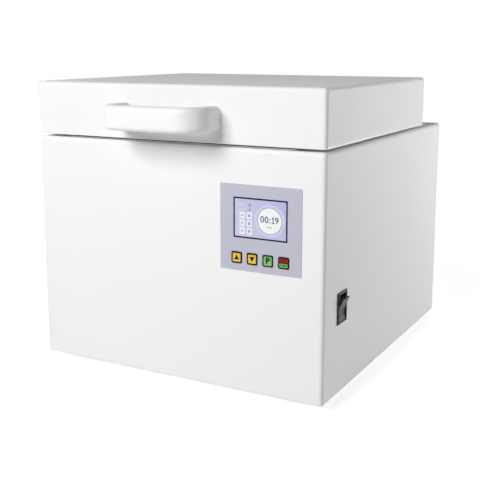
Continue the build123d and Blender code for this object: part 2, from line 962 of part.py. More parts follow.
with BuildPart() as hinge_lid_leaves:
    for centre_x in hinge_places:
        with Locations(
            (centre_x, lid_rear_y + hinge_leaf / 2, hinge_z + hinge_leaf_length / 2)
        ):
            Box(hinge_width, hinge_leaf, hinge_leaf_length)
        for side in (-1, 1):
            with Locations((centre_x + side * hinge_width / 2, lid_rear_y, hinge_z)):
                Box(
                    2 * outer_knuckle + 2 * hinge_play,
                    4 * hinge_leaf,
                    2 * knuckle_relief,
                    mode=Mode.SUBTRACT,
                )
        hinge_knuckles(centre_x, [(0, hinge_middle)])
    bore_hinges()
    flush_holes(hinge_lid_screw_places)
write(hinge_lid_leaves, "hinge_lid_leaves")

with BuildPart() as hinge_pins:
    for centre_x in hinge_places:
        with Locations((centre_x, hinge_y, hinge_z)):
            Cylinder(hinge_pin_radius, hinge_width + 2 * hinge_pin_end, rotation=(0, 90, 0))
    chamfer(hinge_pins.edges().filter_by(GeomType.CIRCLE), hinge_pin_chamfer)
write(hinge_pins, "hinge_pins")
write(flush_screws(hinge_base_screw_places, hinge_screw_length), "hinge_base_screws")
write(flush_screws(hinge_lid_screw_places, hinge_screw_length), "hinge_lid_screws")

# ---- Lid interlock: a magnet in the lid over a reed sensor under the deck ------------------------------
interlock_y = chamber_y - interlock_forward
with BuildPart() as lid_magnet:
    with Locations((interlock_x, interlock_y, tray_z)):
        Cylinder(magnet_radius, magnet_height, align=(Align.CENTER, Align.CENTER, Align.MIN))
    chamfer(lid_magnet.edges().group_by(Axis.Z)[-1], magnet_chamfer)
write(lid_magnet, "lid_magnet")
with BuildPart() as reed_sensor:
    with Locations((interlock_x, interlock_y, deck_z - sheet)):
        Box(
            sensor_width,
            sensor_length,
            sensor_height,
            align=(Align.CENTER, Align.CENTER, Align.MAX),
        )
    fillet(reed_sensor.edges().filter_by(Axis.Z), sensor_round)
write(reed_sensor, "reed_sensor")

# ---- Control panel: overlay, lens, display and boards ---------------------------------------------------
with BuildPart() as control_overlay:
    with BuildSketch(facing(panel_x, front_y, panel_z, (0, -1, 0), (1, 0, 0))):
        RectangleRounded(panel_width, panel_height, overlay_corner)
        with Locations((0, window_rise)):
            Rectangle(window_width, window_height, mode=Mode.SUBTRACT)
        with Locations(*[(x - panel_x, -key_drop) for x, z in key_places]):
            RectangleRounded(key_hole, key_hole, key_corner + key_gap, mode=Mode.SUBTRACT)
    extrude(amount=overlay_thickness)
write(control_overlay, "control_overlay")

with BuildPart() as display_lens:
    with Locations((panel_x, front_y - overlay_thickness / 2, window_z)):
        Box(
            window_width - 2 * window_fit,
            overlay_thickness,
            window_height - 2 * window_fit,
        )
write(display_lens, "display_lens")

with BuildPart() as display_module:
    with Locations((panel_x, front_y + sheet + module_thickness / 2, window_z)):
        Box(module_width, module_thickness, module_height)
    fillet(display_module.edges().filter_by(Axis.Y), module_corner)
write(display_module, "display_module")

board_width = panel_width
board_height = panel_height - board_trim
board_back_y = board_y + board_thickness
standoff_x = board_width / 2 - standoff_inset
standoff_z = board_height / 2 - standoff_inset
standoff_places = [
    (panel_x + side_x * standoff_x, panel_z + side_z * standoff_z)
    for side_x in (-1, 1)
    for side_z in (-1, 1)
]
with BuildPart() as control_board:
    with Locations((panel_x, (board_y + board_back_y) / 2, panel_z)):
        Box(board_width, board_thickness, board_height)
    for side in (-1, 1):
        chip_x = panel_x + side * board_width / 4
        with Locations((chip_x, board_back_y + chip_height / 2, panel_z + board_height / 8)):
            Box(chip_size, chip_height, chip_size)
    with Locations((panel_x, board_back_y + plug_depth / 2, panel_z - board_height / 3)):
        Box(plug_width, plug_depth, plug_height)
    board_holes = [facing(x, board_y, z, (0, 1, 0)) for x, z in standoff_places]
    drill(board_holes, hole_radius, 2 * board_thickness)
write(control_board, "control_board")

with BuildPart() as board_standoffs:
    for x, z in standoff_places:
        with Locations((x, (front_y + sheet + board_y) / 2, z)):
            Cylinder(standoff_radius, board_y - front_y - sheet, rotation=(90, 0, 0))
        with Locations((x, (board_y + board_back_y) / 2, z)):
            Cylinder(screw_radius, board_thickness, rotation=(90, 0, 0))
        with Locations((x, board_back_y + board_screw_head / 2, z)):
            Cylinder(screw_head_radius, board_screw_head, rotation=(90, 0, 0))
write(board_standoffs, "board_standoffs")

tact_face_y = board_y - tact_height
with BuildPart() as key_switches:
    for x, z in key_places:
        with Locations((x, (board_y + tact_face_y) / 2, z)):
            Box(tact_size, tact_height, tact_size)
        with Locations((x, tact_face_y - plunger_height / 2, z)):
            Cylinder(plunger_radius, plunger_height, rotation=(90, 0, 0))
write(key_switches, "key_switches")

# ---- Control panel: the four keys ---------------------------------------------------------------------
key_face_y = front_y - overlay_thickness - key_proud
key_lip_y = front_y + sheet + key_gap
stem_end_y = tact_face_y - plunger_height - key_stem_gap - key_travel
for key_name, (x, z) in zip(key_names, key_places):
    with BuildPart() as key:
        with BuildSketch(facing(x, key_face_y, z, (0, -1, 0), (1, 0, 0))):
            RectangleRounded(key_size, key_size, key_corner)
        extrude(amount=-(key_lip_y - key_face_y))
        fillet(key.edges().group_by(Axis.Y)[0], key_proud / 2)
        with Locations((x, key_lip_y + key_lip_thickness / 2, z)):
            Box(key_size + 2 * key_lip, key_lip_thickness, key_size + 2 * key_lip)
        with Locations((x, (key_lip_y + stem_end_y) / 2, z)):
            Cylinder(key_stem_radius, stem_end_y - key_lip_y, rotation=(90, 0, 0))
    write(key, key_name)

# ---- Power switch on the right wall ---------------------------------------------------------------------
bezel_face_x = half_width + bezel_thickness
pivot_x = half_width - rocker_pivot_depth
rocker_width = switch_hole_width - 2 * rocker_side_gap
switch_hole_height = switch_body_height - 2 * switch_wall
with BuildPart() as power_switch_housing:
    with Locations((half_width + bezel_thickness / 2, switch_y, switch_z)):
        Box(bezel_thickness, switch_width, switch_height)
    chamfer(power_switch_housing.edges().group_by(Axis.X)[-1], bezel_chamfer)
    with Locations((half_width, switch_y, switch_z)):
        Box(
            switch_depth,
            switch_body_width,
            switch_body_height,
            align=(Align.MAX, Align.CENTER, Align.CENTER),
        )
    with Locations((bezel_face_x, switch_y, switch_z)):
        Box(
            bezel_thickness + switch_depth - 4 * switch_wall,
            switch_hole_width,
            switch_hole_height,
            align=(Align.MAX, Align.CENTER, Align.CENTER),
            mode=Mode.SUBTRACT,
        )
    with Locations((pivot_x, switch_y, switch_z)):
        Cylinder(
            rocker_pin_radius + pin_clearance,
            2 * switch_body_width,
            rotation=(90, 0, 0),
            mode=Mode.SUBTRACT,
        )
    for step in (-terminal_pitch, 0, terminal_pitch):
        with Locations((half_width - switch_depth, switch_y, switch_z + step)):
            Box(
                terminal_length,
                terminal_width,
                terminal_thickness,
                align=(Align.MAX, Align.CENTER, Align.CENTER),
            )
write(power_switch_housing, "power_switch_housing")

# The rocker's side profile stands in its own frame: X outwards from the pivot, Y up the wall.
rocker_plane = Plane(
    origin=(pivot_x, switch_y, switch_z),
    x_dir=(cos(radians(rocker_tilt)), 0, -sin(radians(rocker_tilt))),
    z_dir=(0, -1, 0),
)
tip_out = rocker_pivot_depth + rocker_tip
with BuildPart() as power_rocker:
    with BuildSketch(rocker_plane):
        with BuildLine():
            face = ThreePointArc(
                (tip_out, -rocker_half),
                (rocker_pivot_depth + rocker_middle, 0),
                (tip_out, rocker_half),
            )
            Polyline(
                face @ 1,
                (rocker_skirt_depth, rocker_half - rocker_skirt),
                (-rocker_keel, rocker_keel_half),
                (-rocker_keel, -rocker_keel_half),
                (rocker_skirt_depth, rocker_skirt - rocker_half),
                face @ 0,
            )
        make_face()
    extrude(amount=rocker_width / 2, both=True)
    fillet(power_rocker.edges().filter_by(Axis.Y).group_by(Axis.X)[-1], rocker_round)
    with Locations((pivot_x, switch_y, switch_z)):
        Cylinder(
            rocker_pin_radius,
            switch_hole_width + switch_wall,
            rotation=(90, 0, 0),
        )
write(power_rocker, "power_rocker")

# ---- Fans: frames, rotors, guards and screws -----------------------------------------------------------
fan_back_y = rear_y - sheet
fan_front_y = fan_back_y - fan_depth
fan_mid_y = (fan_front_y + fan_back_y) / 2
rotor_low_y = fan_front_y + stator_thickness + rotor_gap
rotor_high_y = fan_back_y - rotor_setback
rotor_length = rotor_high_y - rotor_low_y
rotor_mid_y = (rotor_low_y + rotor_high_y) / 2
blade_root = fan_hub - blade_thickness
spoke_length = 2 * fan_bore + fan_tip_gap
blade_tip = fan_bore - fan_tip_gap
blade_middle = (blade_root + blade_tip) / 2
guard_ring_y = rear_y + guard_reach - guard_wire
guard_cross_y = rear_y + guard_wire
guard_ring_step = (fan_bore + guard_overlap - guard_ring_first) / (guard_ring_count - 1)
guard_cross_length = fan_pitch * 2**0.5 - 2 * guard_eye
for side, (x, z) in zip(("left", "right"), fan_centres):
    corners = [facing(x + dx, rear_y, z + dz, (0, 1, 0)) for dx, dz in fan_corners]
    with BuildPart() as fan_frame:
        with Locations((x, fan_mid_y, z)):
            Box(fan_size, fan_depth, fan_size)
        fillet(fan_frame.edges().filter_by(Axis.Y), fan_corner)
        with Locations((x, fan_mid_y, z)):
            Cylinder(fan_bore, 2 * fan_depth, rotation=(90, 0, 0), mode=Mode.SUBTRACT)
        with Locations((x, fan_front_y + stator_thickness / 2, z)):
            Cylinder(blade_root, stator_thickness, rotation=(90, 0, 0))
            for spoke in range(spoke_count // 2):
                turn = 360 / spoke_count * (spoke + 0.5)
                Box(spoke_width, stator_thickness, spoke_length, rotation=(0, turn, 0))
            Cylinder(
                fan_shaft_radius + pin_clearance,
                2 * stator_thickness,
                rotation=(90, 0, 0),
                mode=Mode.SUBTRACT,
            )
        drill(corners, fan_screw_radius + screw_clearance, 2 * fan_depth)
    write(fan_frame, f"fan_frame_{side}")

    with BuildPart() as fan_rotor:
        with Locations((x, rotor_mid_y, z)):
            Cylinder(fan_hub, rotor_length, rotation=(90, 0, 0))
        fillet(fan_rotor.edges().group_by(Axis.Y)[-1], rotor_round)
        with Locations((x, rotor_mid_y, z)):
            for blade in range(fan_blades):
                with Locations(Location((0, 0, 0), (0, 360 / fan_blades * blade, 0))):
                    with Locations(Location((blade_middle, 0, 0), (blade_pitch, 0, 0))):
                        Box(blade_tip - blade_root, blade_thickness, rotor_length)
        with Locations((x, rotor_low_y, z)):
            Cylinder(fan_shaft_radius, 2 * stator_thickness, rotation=(90, 0, 0))
    write(fan_rotor, f"fan_rotor_{side}")

    with BuildPart() as fan_guard:
        with Locations(Location((x, guard_ring_y, z), (90, 0, 0))):
            for ring in range(guard_ring_count):
                Torus(guard_ring_first + ring * guard_ring_step, guard_wire)
        with Locations((x, guard_cross_y, z)):
            for turn in (45, -45):
                Cylinder(guard_wire, guard_cross_length, rotation=(0, turn, 0))
        for dx, dz in fan_corners:
            with Locations(Location((x + dx, guard_cross_y, z + dz), (90, 0, 0))):
                Torus(guard_eye, guard_wire)
    write(fan_guard, f"fan_guard_{side}")

fan_screws = pan_screws(
    [
        facing(x + dx, rear_y + 2 * guard_wire, z + dz, (0, 1, 0))
        for x, z in fan_centres
        for dx, dz in fan_corners
    ],
    fan_depth,
    fan_screw_radius - fan_screw_fit,
)
write(fan_screws, "fan_screws")

# ---- Mains inlet, its pins and fuse drawer ---------------------------------------------------------------
inlet_face_y = rear_y + inlet_flange_thickness
recess_z = inlet_z + recess_rise
drawer_z = recess_z - recess_height / 2 - inlet_web - drawer_gap - drawer_height / 2
with BuildPart() as mains_inlet:
    with Locations((inlet_x, rear_y + inlet_flange_thickness / 2, inlet_z)):
        Box(inlet_width, inlet_flange_thickness, inlet_height)
    fillet(mains_inlet.edges().filter_by(Axis.Y), inlet_corner)
    chamfer(mains_inlet.edges().group_by(Axis.Y)[-1], inlet_chamfer)
    with Locations((inlet_x, rear_y, inlet_z)):
        Box(
            inlet_body_width,
            inlet_depth,
            inlet_body_height,
            align=(Align.CENTER, Align.MAX, Align.CENTER),
        )
    recess_plane = facing(inlet_x, inlet_face_y, recess_z, (0, -1, 0), (1, 0, 0))
    with BuildSketch(recess_plane) as recess_mouth:
        Rectangle(recess_width, recess_height)
        chamfer(recess_mouth.vertices().group_by(Axis.Y)[-1], recess_corner)
    extrude(amount=recess_depth, mode=Mode.SUBTRACT)
    with Locations((inlet_x, inlet_face_y, drawer_z)):
        Box(
            drawer_width + 2 * drawer_gap,
            drawer_depth + drawer_end_gap,
            drawer_height + 2 * drawer_gap,
            align=(Align.CENTER, Align.MAX, Align.CENTER),
            mode=Mode.SUBTRACT,
        )
write(mains_inlet, "mains_inlet")

recess_floor_y = inlet_face_y - recess_depth
inlet_pin_places = [
    (inlet_x - inlet_pin_spacing / 2, recess_floor_y, recess_z - inlet_pin_drop),
    (inlet_x + inlet_pin_spacing / 2, recess_floor_y, recess_z - inlet_pin_drop),
    (inlet_x, recess_floor_y, recess_z + earth_pin_rise),
]
with BuildPart() as inlet_pins:
    with Locations(*inlet_pin_places):
        Box(
            inlet_pin_width,
            inlet_pin_length,
            inlet_pin_height,
            align=(Align.CENTER, Align.MIN, Align.CENTER),
        )
write(inlet_pins, "inlet_pins")

trough_front_y = inlet_face_y - drawer_front
trough_length = drawer_depth - drawer_front - drawer_wall
trough_floor_z = drawer_z - drawer_height / 2 + drawer_floor
with BuildPart() as fuse_drawer:
    with Locations((inlet_x, inlet_face_y, drawer_z)):
        Box(
            drawer_width,
            drawer_depth,
            drawer_height,
            align=(Align.CENTER, Align.MAX, Align.CENTER),
        )
    with Locations((inlet_x, trough_front_y, trough_floor_z)):
        Box(
            drawer_width - 2 * drawer_wall,
            trough_length,
            drawer_height,
            align=(Align.CENTER, Align.MAX, Align.MIN),
            mode=Mode.SUBTRACT,
        )
    with Locations((inlet_x, inlet_face_y, drawer_z)):
        Box(drawer_notch_width, 2 * drawer_notch_depth, drawer_notch_height, mode=Mode.SUBTRACT)
write(fuse_drawer, "fuse_drawer")

fuse_y = trough_front_y - trough_length / 2
fuse_z = trough_floor_z + fuse_radius + fuse_rest
with BuildPart() as fuses:
    with Locations(*[(inlet_x + dx, fuse_y, fuse_z) for dx in (-fuse_pitch, fuse_pitch)]):
        Cylinder(fuse_radius, trough_length - 2 * fuse_rest, rotation=(90, 0, 0))
write(fuses, "fuses")

# ---- Electrical parts on the base plate ------------------------------------------------------------------
# The ballasts stand in two rows, as many in each as fit between the side walls and the lead.
standing = (Align.CENTER, Align.CENTER, Align.MIN)
ballast_step = ballast_length + ballast_gap
ballast_space = 2 * (lead_x - lead_radius - ballast_side_room)
ballast_columns = int((ballast_space + ballast_gap) // ballast_step)
with BuildPart() as ballasts:
    with Locations((0, chamber_y + ballast_back, base_top_z)):
        with GridLocations(ballast_step, ballast_pitch, ballast_columns, ballast_rows):
            Box(ballast_length - 2 * ballast_tab, ballast_width, ballast_height, align=standing)
            Box(ballast_length, ballast_width / 2, ballast_tab_thickness, align=standing)
write(ballasts, "ballasts")

bay_y = rear_y - bay_inset
relay_board_z = base_top_z + relay_stand
relay_post_step_x = relay_board_width - 2 * relay_post_inset
relay_post_step_y = relay_board_depth - 2 * relay_post_inset
with BuildPart() as relay_board:
    with Locations((relay_x, bay_y, relay_board_z)):
        Box(relay_board_width, relay_board_depth, board_thickness, align=standing)
    with Locations((relay_x, bay_y, base_top_z)):
        with GridLocations(relay_post_step_x, relay_post_step_y, 2, 2):
            Cylinder(relay_post_radius, relay_stand, align=standing)
    with Locations((relay_x, bay_y, relay_board_z + board_thickness)):
        with GridLocations(relay_pitch, 0, relay_count, 1):
            Box(relay_width, relay_depth, relay_height, align=standing)
write(relay_board, "relay_board")

with BuildPart() as mains_filter:
    with Locations((filter_x, bay_y, base_top_z)):
        Box(filter_length, filter_width, filter_height, align=standing)
        Box(filter_tab_length, filter_tab_width, filter_tab_thickness, align=standing)
write(mains_filter, "mains_filter")

# ---- Mains lead, lying on the base plate along the right wall from the inlet to the switch ---------------
lead_z = base_top_z + lead_radius + lead_rest
lead_exit_z = inlet_z - lead_drop
lead_points = [
    (inlet_x, inlet_back_y, lead_exit_z),
    (inlet_x, inlet_back_y - lead_straight, lead_exit_z),
    (lead_x, inlet_back_y - lead_straight - lead_slope, lead_z),
    (lead_x, switch_y, lead_z),
    (lead_x, switch_y, switch_z - switch_body_height / 2),
]
with BuildPart() as mains_lead:
    with BuildLine() as lead_path:
        FilletPolyline(*lead_points, radius=lead_bend)
    with BuildSketch(Plane(origin=lead_path.line @ 0, z_dir=lead_path.line % 0)):
        Circle(lead_radius)
    sweep()
write(mains_lead, "mains_lead")
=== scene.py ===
# %% [markdown]
# # Dressing a bench-top light curing unit
#
# This unit hardens printed dental resin. It is a white steel cabinet with a mirror-lined chamber,
# a deep hinged lid, a small control panel and a rocker switch. The solid parts come ready made, at
# their real size, as a fixed frame. This lesson gives each of them its finish, and adds the small
# things that the solids leave out: the screen's picture, the legends, the marks on the rocker, the
# seal's bulb, the cross slots of the screws and the blades of the fans.
#
# All lengths are in metres. X points to the unit's right, Y to its rear and Z up.

# %% Load the frame
import json
from math import cos, hypot, radians, sin, tau

import bmesh
import bpy
from mathutils import Matrix, Quaternion, Vector
from mathutils.bvhtree import BVHTree


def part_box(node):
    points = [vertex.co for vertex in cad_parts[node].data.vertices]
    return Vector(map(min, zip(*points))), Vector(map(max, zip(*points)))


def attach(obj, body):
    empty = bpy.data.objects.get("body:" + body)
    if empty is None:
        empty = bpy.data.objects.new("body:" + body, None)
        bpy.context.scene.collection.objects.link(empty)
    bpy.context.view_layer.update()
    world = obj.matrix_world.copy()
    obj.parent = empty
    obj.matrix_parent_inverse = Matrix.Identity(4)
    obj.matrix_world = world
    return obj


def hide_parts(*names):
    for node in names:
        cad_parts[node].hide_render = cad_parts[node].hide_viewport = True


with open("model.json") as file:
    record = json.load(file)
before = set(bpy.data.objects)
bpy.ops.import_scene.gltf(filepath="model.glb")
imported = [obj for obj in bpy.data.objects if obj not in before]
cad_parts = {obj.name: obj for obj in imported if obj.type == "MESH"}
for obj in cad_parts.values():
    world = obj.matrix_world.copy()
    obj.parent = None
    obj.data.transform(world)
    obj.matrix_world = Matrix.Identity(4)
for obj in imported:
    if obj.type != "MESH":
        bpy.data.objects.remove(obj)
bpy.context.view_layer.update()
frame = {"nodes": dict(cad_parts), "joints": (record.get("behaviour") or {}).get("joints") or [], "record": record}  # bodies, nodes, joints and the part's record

MM = 0.001
nodes, record = frame["nodes"], frame["record"]
slot_of = {part["node"]: part["material_slot"] for part in record["subparts"]}
paint_of = {finish["slot"]: tuple(finish["base_color"][:3]) for finish in record["materials"]}
joint_of = {joint["name"]: joint for joint in frame["joints"]}
bodies = record["behaviour"]["bodies"]
body_of = {node: body for body, members in bodies.items() for node in members}

# %% Helpers for objects
scene = bpy.context.scene
STILL = Matrix.Identity(4)


def put_in_scene(name, data):
    """An object with this data, linked into the scene."""
    made = bpy.data.objects.new(name, data)
    scene.collection.objects.link(made)
    return made


def mesh_of(form, name):
    """The mesh of a form that is no longer edited."""
    mesh = bpy.data.meshes.new(name)
    form.to_mesh(mesh)
    form.free()
    return mesh


def direction(turn, rise):
    """A way out from the unit, in degrees to the right from its front and up from level."""
    around, above = radians(turn), radians(rise)
    return Vector((sin(around) * cos(above), -cos(around) * cos(above), sin(above)))


def spun(degrees, axis):
    """A turn about an axis."""
    return Matrix.Rotation(radians(degrees), 4, axis)


print("the front right corner lies along", direction(45, 0))

# %% [markdown]
# ## The camera
#
# The photograph looks down on the unit from its front right corner. The camera's place and turn
# were solved from the straight edges of the cabinet. Upright edges stay almost parallel in the
# photograph, as a shifted lens draws them, so the camera has a small shift.

# %% Camera
PHOTO_WIDTH = 480
SENSOR = 36.0
CAMERA_TURN, CAMERA_DIP, CAMERA_ROLL = 28.73, 10.79, -0.03
FOCAL_PIXELS = 870.3
AXIS_RISE_PIXELS = 28.8

camera = put_in_scene("camera", bpy.data.cameras.new("camera"))
bpy.context.scene.camera = camera
looking = -direction(CAMERA_TURN, CAMERA_DIP)
roll = Quaternion((0, 0, 1), radians(CAMERA_ROLL))
camera.location = Vector((577.6, -1071.0, 425.0)) * MM
camera.rotation_mode = "QUATERNION"
camera.rotation_quaternion = looking.to_track_quat("-Z", "Y") @ roll
camera.data.sensor_width = SENSOR
camera.data.lens = FOCAL_PIXELS / PHOTO_WIDTH * SENSOR
camera.data.shift_y = -AXIS_RISE_PIXELS / PHOTO_WIDTH
print(f"lens {camera.data.lens:.1f} mm, {camera.location.length:.2f} m from the bench's origin")

# %% [markdown]
# ## Helpers for nodes
#
# Every material is a tree of nodes. These helpers add a node, fill its inputs, and return its
# result as a pair of the node and its output, which goes straight into the next node's input.


# %% Node helpers
PRINCIPLED = "Principled BSDF"


def feed(node, inputs):
    """Fills inputs by name or number: with a value, a colour, or a link from (node, output)."""
    for socket, value in inputs.items():
        target = node.inputs[socket]
        if isinstance(value, tuple) and isinstance(value[0], bpy.types.Node):
            node.id_data.links.new(value[0].outputs[value[1]], target)
        else:
            target.default_value = (*value, 1) if target.type == "RGBA" else value


def add_node(tree, kind, inputs=None, **settings):
    """A shader node. Settings are its properties."""
    made = tree.nodes.new(kind)
    for key, value in settings.items():
        setattr(made, key, value)
    feed(made, inputs or {})
    return made


def maths(tree, operation, *terms, **settings):
    """The result of a sum with numbers."""
    inputs = dict(enumerate(terms))
    return add_node(tree, "ShaderNodeMath", inputs, operation=operation, **settings), 0


def vectors(tree, operation, *terms):
    """The result of a sum with vectors, which is a number for a length or a dot product."""
    made = add_node(tree, "ShaderNodeVectorMath", dict(enumerate(terms)), operation=operation)
    return made, "Value" if operation in ("LENGTH", "DOT_PRODUCT") else "Vector"


def ranged(tree, value, low, high, to_low=0.0, to_high=1.0, **settings):
    """A value moved from one range to another, and held inside it."""
    limits = {"From Min": low, "From Max": high, "To Min": to_low, "To Max": to_high}
    return add_node(tree, "ShaderNodeMapRange", {"Value": value, **limits}, **settings), 0


def where(tree):
    """The place of each point, in the object's own coordinates."""
    return add_node(tree, "ShaderNodeTexCoord"), "Object"


def noise(tree, place, scale, detail=2.0):
    """The value of a noise, which is 0.5 on average."""
    inputs = {"Vector": place, "Scale": scale, "Detail": detail}
    return add_node(tree, "ShaderNodeTexNoise", inputs), 0


def seen_directly(tree):
    """A value that is 1 for rays of the camera, of reflections and through glass."""
    path = add_node(tree, "ShaderNodeLightPath")
    either = maths(tree, "MAXIMUM", (path, "Is Camera Ray"), (path, "Is Glossy Ray"))
    return maths(tree, "MAXIMUM", either, (path, "Is Transmission Ray"))


scene.view_settings.view_transform = "Standard"
print("colours are shown as", scene.view_settings.view_transform)

# %% [markdown]
# ## The studio
#
# A product like this is lit by large softboxes. The main one, in front, a little to the left and
# well above, gives the front its even white and draws the soft shadow under the handle. A low one
# behind the right corner brightens the right wall towards the rear, and a weaker one does the same
# for the left wall. A small one keeps the fold at the front right corner lit.
#
# The background is white because the world and the floor show white to the camera, to reflections
# and to glass, and not because more light falls on the unit.

# %% World
WORLD_LIGHT = 0.05
WHITE = (1, 1, 1)

world = bpy.data.worlds.new("studio")
scene.world = world
world.use_nodes = True
world_tree = world.node_tree
soft = world_tree.nodes["Background"]
feed(soft, {"Color": WHITE, "Strength": WORLD_LIGHT})
shown = add_node(world_tree, "ShaderNodeBackground", {"Color": WHITE, "Strength": 1.0})
choice = {0: seen_directly(world_tree), 1: (soft, 0), 2: (shown, 0)}
chooser = add_node(world_tree, "ShaderNodeMixShader", choice)
feed(world_tree.nodes["World Output"], {"Surface": (chooser, 0)})
print("world light", WORLD_LIGHT)

# %% Floor
FLOOR_SIZE = 12.0
FLOOR_WHITE = 0.68
NEAR_LIFT, FAR_LIFT = 0.72, 1.0
NEAR_RADIUS, FAR_RADIUS = 0.55, 1.6

floor_form = bmesh.new()
bmesh.ops.create_grid(floor_form, x_segments=8, y_segments=8, size=FLOOR_SIZE / 2)
floor_mesh = mesh_of(floor_form, "floor")
floor = put_in_scene("floor", floor_mesh)

floor_paint = bpy.data.materials.new("floor white")
floor_paint.use_nodes = True
tree = floor_paint.node_tree
tree.nodes.remove(tree.nodes[PRINCIPLED])
matt = add_node(tree, "ShaderNodeBsdfDiffuse", {"Color": (FLOOR_WHITE,) * 3})
distance = vectors(tree, "LENGTH", where(tree))
limits = (NEAR_RADIUS, FAR_RADIUS, NEAR_LIFT, FAR_LIFT)
lift = ranged(tree, distance, *limits, interpolation_type="SMOOTHSTEP")
strength = maths(tree, "MULTIPLY", seen_directly(tree), lift)
glow = add_node(tree, "ShaderNodeEmission", {"Strength": strength})
both = add_node(tree, "ShaderNodeAddShader", {0: (matt, 0), 1: (glow, 0)})
feed(tree.nodes["Material Output"], {"Surface": (both, 0)})
floor_mesh.materials.append(floor_paint)
print(f"floor {FLOOR_SIZE:.0f} m square")

# %% Softboxes
lamp_target = Vector((0, 0, 0.2))


def softbox(name, turn, rise, distance, size, watts):
    """A square lamp that faces the unit from a direction."""
    lamp = put_in_scene(name, bpy.data.lights.new(name, "AREA"))
    away = direction(turn, rise)
    lamp.location = lamp_target + distance * away
    lamp.rotation_mode = "QUATERNION"
    lamp.rotation_quaternion = away.to_track_quat("Z", "Y")
    lamp.data.shape = "SQUARE"
    lamp.data.size = size
    lamp.data.energy = watts
    return lamp


softboxes = [
    softbox("front softbox", turn=-14, rise=29.5, distance=2.6, size=1.24, watts=53.5),
    softbox("right softbox", turn=141, rise=5, distance=1.9, size=0.7, watts=20.5),
    softbox("left softbox", turn=-120, rise=8, distance=1.9, size=0.7, watts=11.0),
    softbox("corner softbox", turn=64, rise=4, distance=1.9, size=0.3, watts=2.5),
]
print([f"{lamp.name} {lamp.data.energy:.0f} W" for lamp in softboxes])

# %% [markdown]
# ## Effects that several finishes share
#
# Powder coat has a fine orange peel, moulded plastic a fine grain, sheet metal a brushing in one
# direction, and every corner that hands touch is rubbed a little paler. Each of these is a node
# group, built once, which every finish uses at its own scale. A group puts out only values. The
# shader stays in each material.


# %% Helpers for node groups
def build_group(name, recipe, inputs):
    """A shader group. Its recipe is given the tree and the inputs, and returns the outputs."""
    group = bpy.data.node_groups.new(name, "ShaderNodeTree")
    for label, value in inputs.items():
        kind = "NodeSocketVector" if isinstance(value, tuple) else "NodeSocketFloat"
        socket = group.interface.new_socket(label, in_out="INPUT", socket_type=kind)
        socket.default_value = value
    entry = add_node(group, "NodeGroupInput")
    outputs = recipe(group, *((entry, label) for label in inputs))
    for label in outputs:
        group.interface.new_socket(label, in_out="OUTPUT", socket_type="NodeSocketFloat")
    add_node(group, "NodeGroupOutput", outputs)
    print(f"group {name} gives", ", ".join(outputs))
    return group


def place_group(tree, group, **values):
    """The group as a node of a material. An underscore in a value's name stands for a space."""
    inputs = {key.replace("_", " "): value for key, value in values.items()}
    return add_node(tree, "ShaderNodeGroup", inputs, node_tree=group)


def mask_of(tree, group, **values):
    """The mask that a group gives with its own values."""
    return place_group(tree, group, **values), "Mask"


# %% [markdown]
# ### Grain
#
# Two noises do the work of a cast or sprayed surface. The fine one is height and becomes the peel
# or grain. The coarse one moves the roughness a little up and down, so that a broad reflection
# looks like a real coat and not like glass.

# %% Grain group
def grain_recipe(tree, grains, patches, roughness, spread):
    place = where(tree)
    fine = noise(tree, place, grains)
    centred = maths(tree, "SUBTRACT", noise(tree, place, patches, detail=3.0), 0.5)
    swing = maths(tree, "MULTIPLY", centred, spread)
    return {"Height": fine, "Roughness": maths(tree, "ADD", swing, roughness)}


GRAIN_START = {"Grains per metre": 900.0, "Patches per metre": 14.0, "Roughness": 0.4}
grain = build_group("surface grain", grain_recipe, {**GRAIN_START, "Spread": 0.05})


def skin_of(tree, grains, patches, roughness, spread):
    """The grain's height and its roughness."""
    scales = {"Grains_per_metre": grains, "Patches_per_metre": patches}
    made = place_group(tree, grain, Roughness=roughness, Spread=spread, **scales)
    return (made, "Height"), (made, "Roughness")


# %% [markdown]
# ### Rubbed edges
#
# The Bevel node returns the normal that a rounded edge would have. Where it differs from the true
# normal there is an edge. Noise breaks the mask up, because no edge is rubbed evenly.

# %% Edge group
NOT_AN_EDGE, FULL_EDGE = 0.995, 0.85


def edge_recipe(tree, width, strength):
    rounded_normal = add_node(tree, "ShaderNodeBevel", {"Radius": width}, samples=4), "Normal"
    true_normal = add_node(tree, "ShaderNodeNewGeometry"), "Normal"
    alike = vectors(tree, "DOT_PRODUCT", rounded_normal, true_normal)
    edge = ranged(tree, alike, NOT_AN_EDGE, FULL_EDGE)
    broken = maths(tree, "MULTIPLY", edge, noise(tree, where(tree), scale=160.0))
    return {"Mask": maths(tree, "MULTIPLY", broken, strength)}


edge_rub = build_group("rubbed edges", edge_recipe, {"Width": 0.001, "Strength": 0.5})

# %% [markdown]
# ### Brushing
#
# Brushed metal carries fine lines along one direction: noise that is squeezed across it and
# stretched along it. The vector says how many lines there are per metre along X, Y and Z, and its
# small number is the direction they run in.

# %% Brushing group
DARK_LINE, PALE_LINE = 0.86, 1.08


def brush_recipe(tree, lines_per_metre, roughness, spread):
    place = vectors(tree, "MULTIPLY", where(tree), lines_per_metre)
    lines = noise(tree, place, scale=1.0, detail=3.0)
    level = maths(tree, "MULTIPLY_ADD", lines, spread, roughness)
    shade = ranged(tree, lines, 0, 1, DARK_LINE, PALE_LINE)
    return {"Height": lines, "Roughness": level, "Shade": shade}


BRUSH_START = {"Lines per metre": (30.0, 1500.0, 1500.0), "Roughness": 0.3, "Spread": 0.1}
brushing = build_group("brushing", brush_recipe, BRUSH_START)

# %% [markdown]
# ### Settled dust
#
# A used unit has a trace of dust on faces that look up. The mask is the upward part of the normal,
# broken up by noise.

# %% Dust group
STEEPEST_DUSTY = 0.7  # the upward part of the normal where dust starts to lie


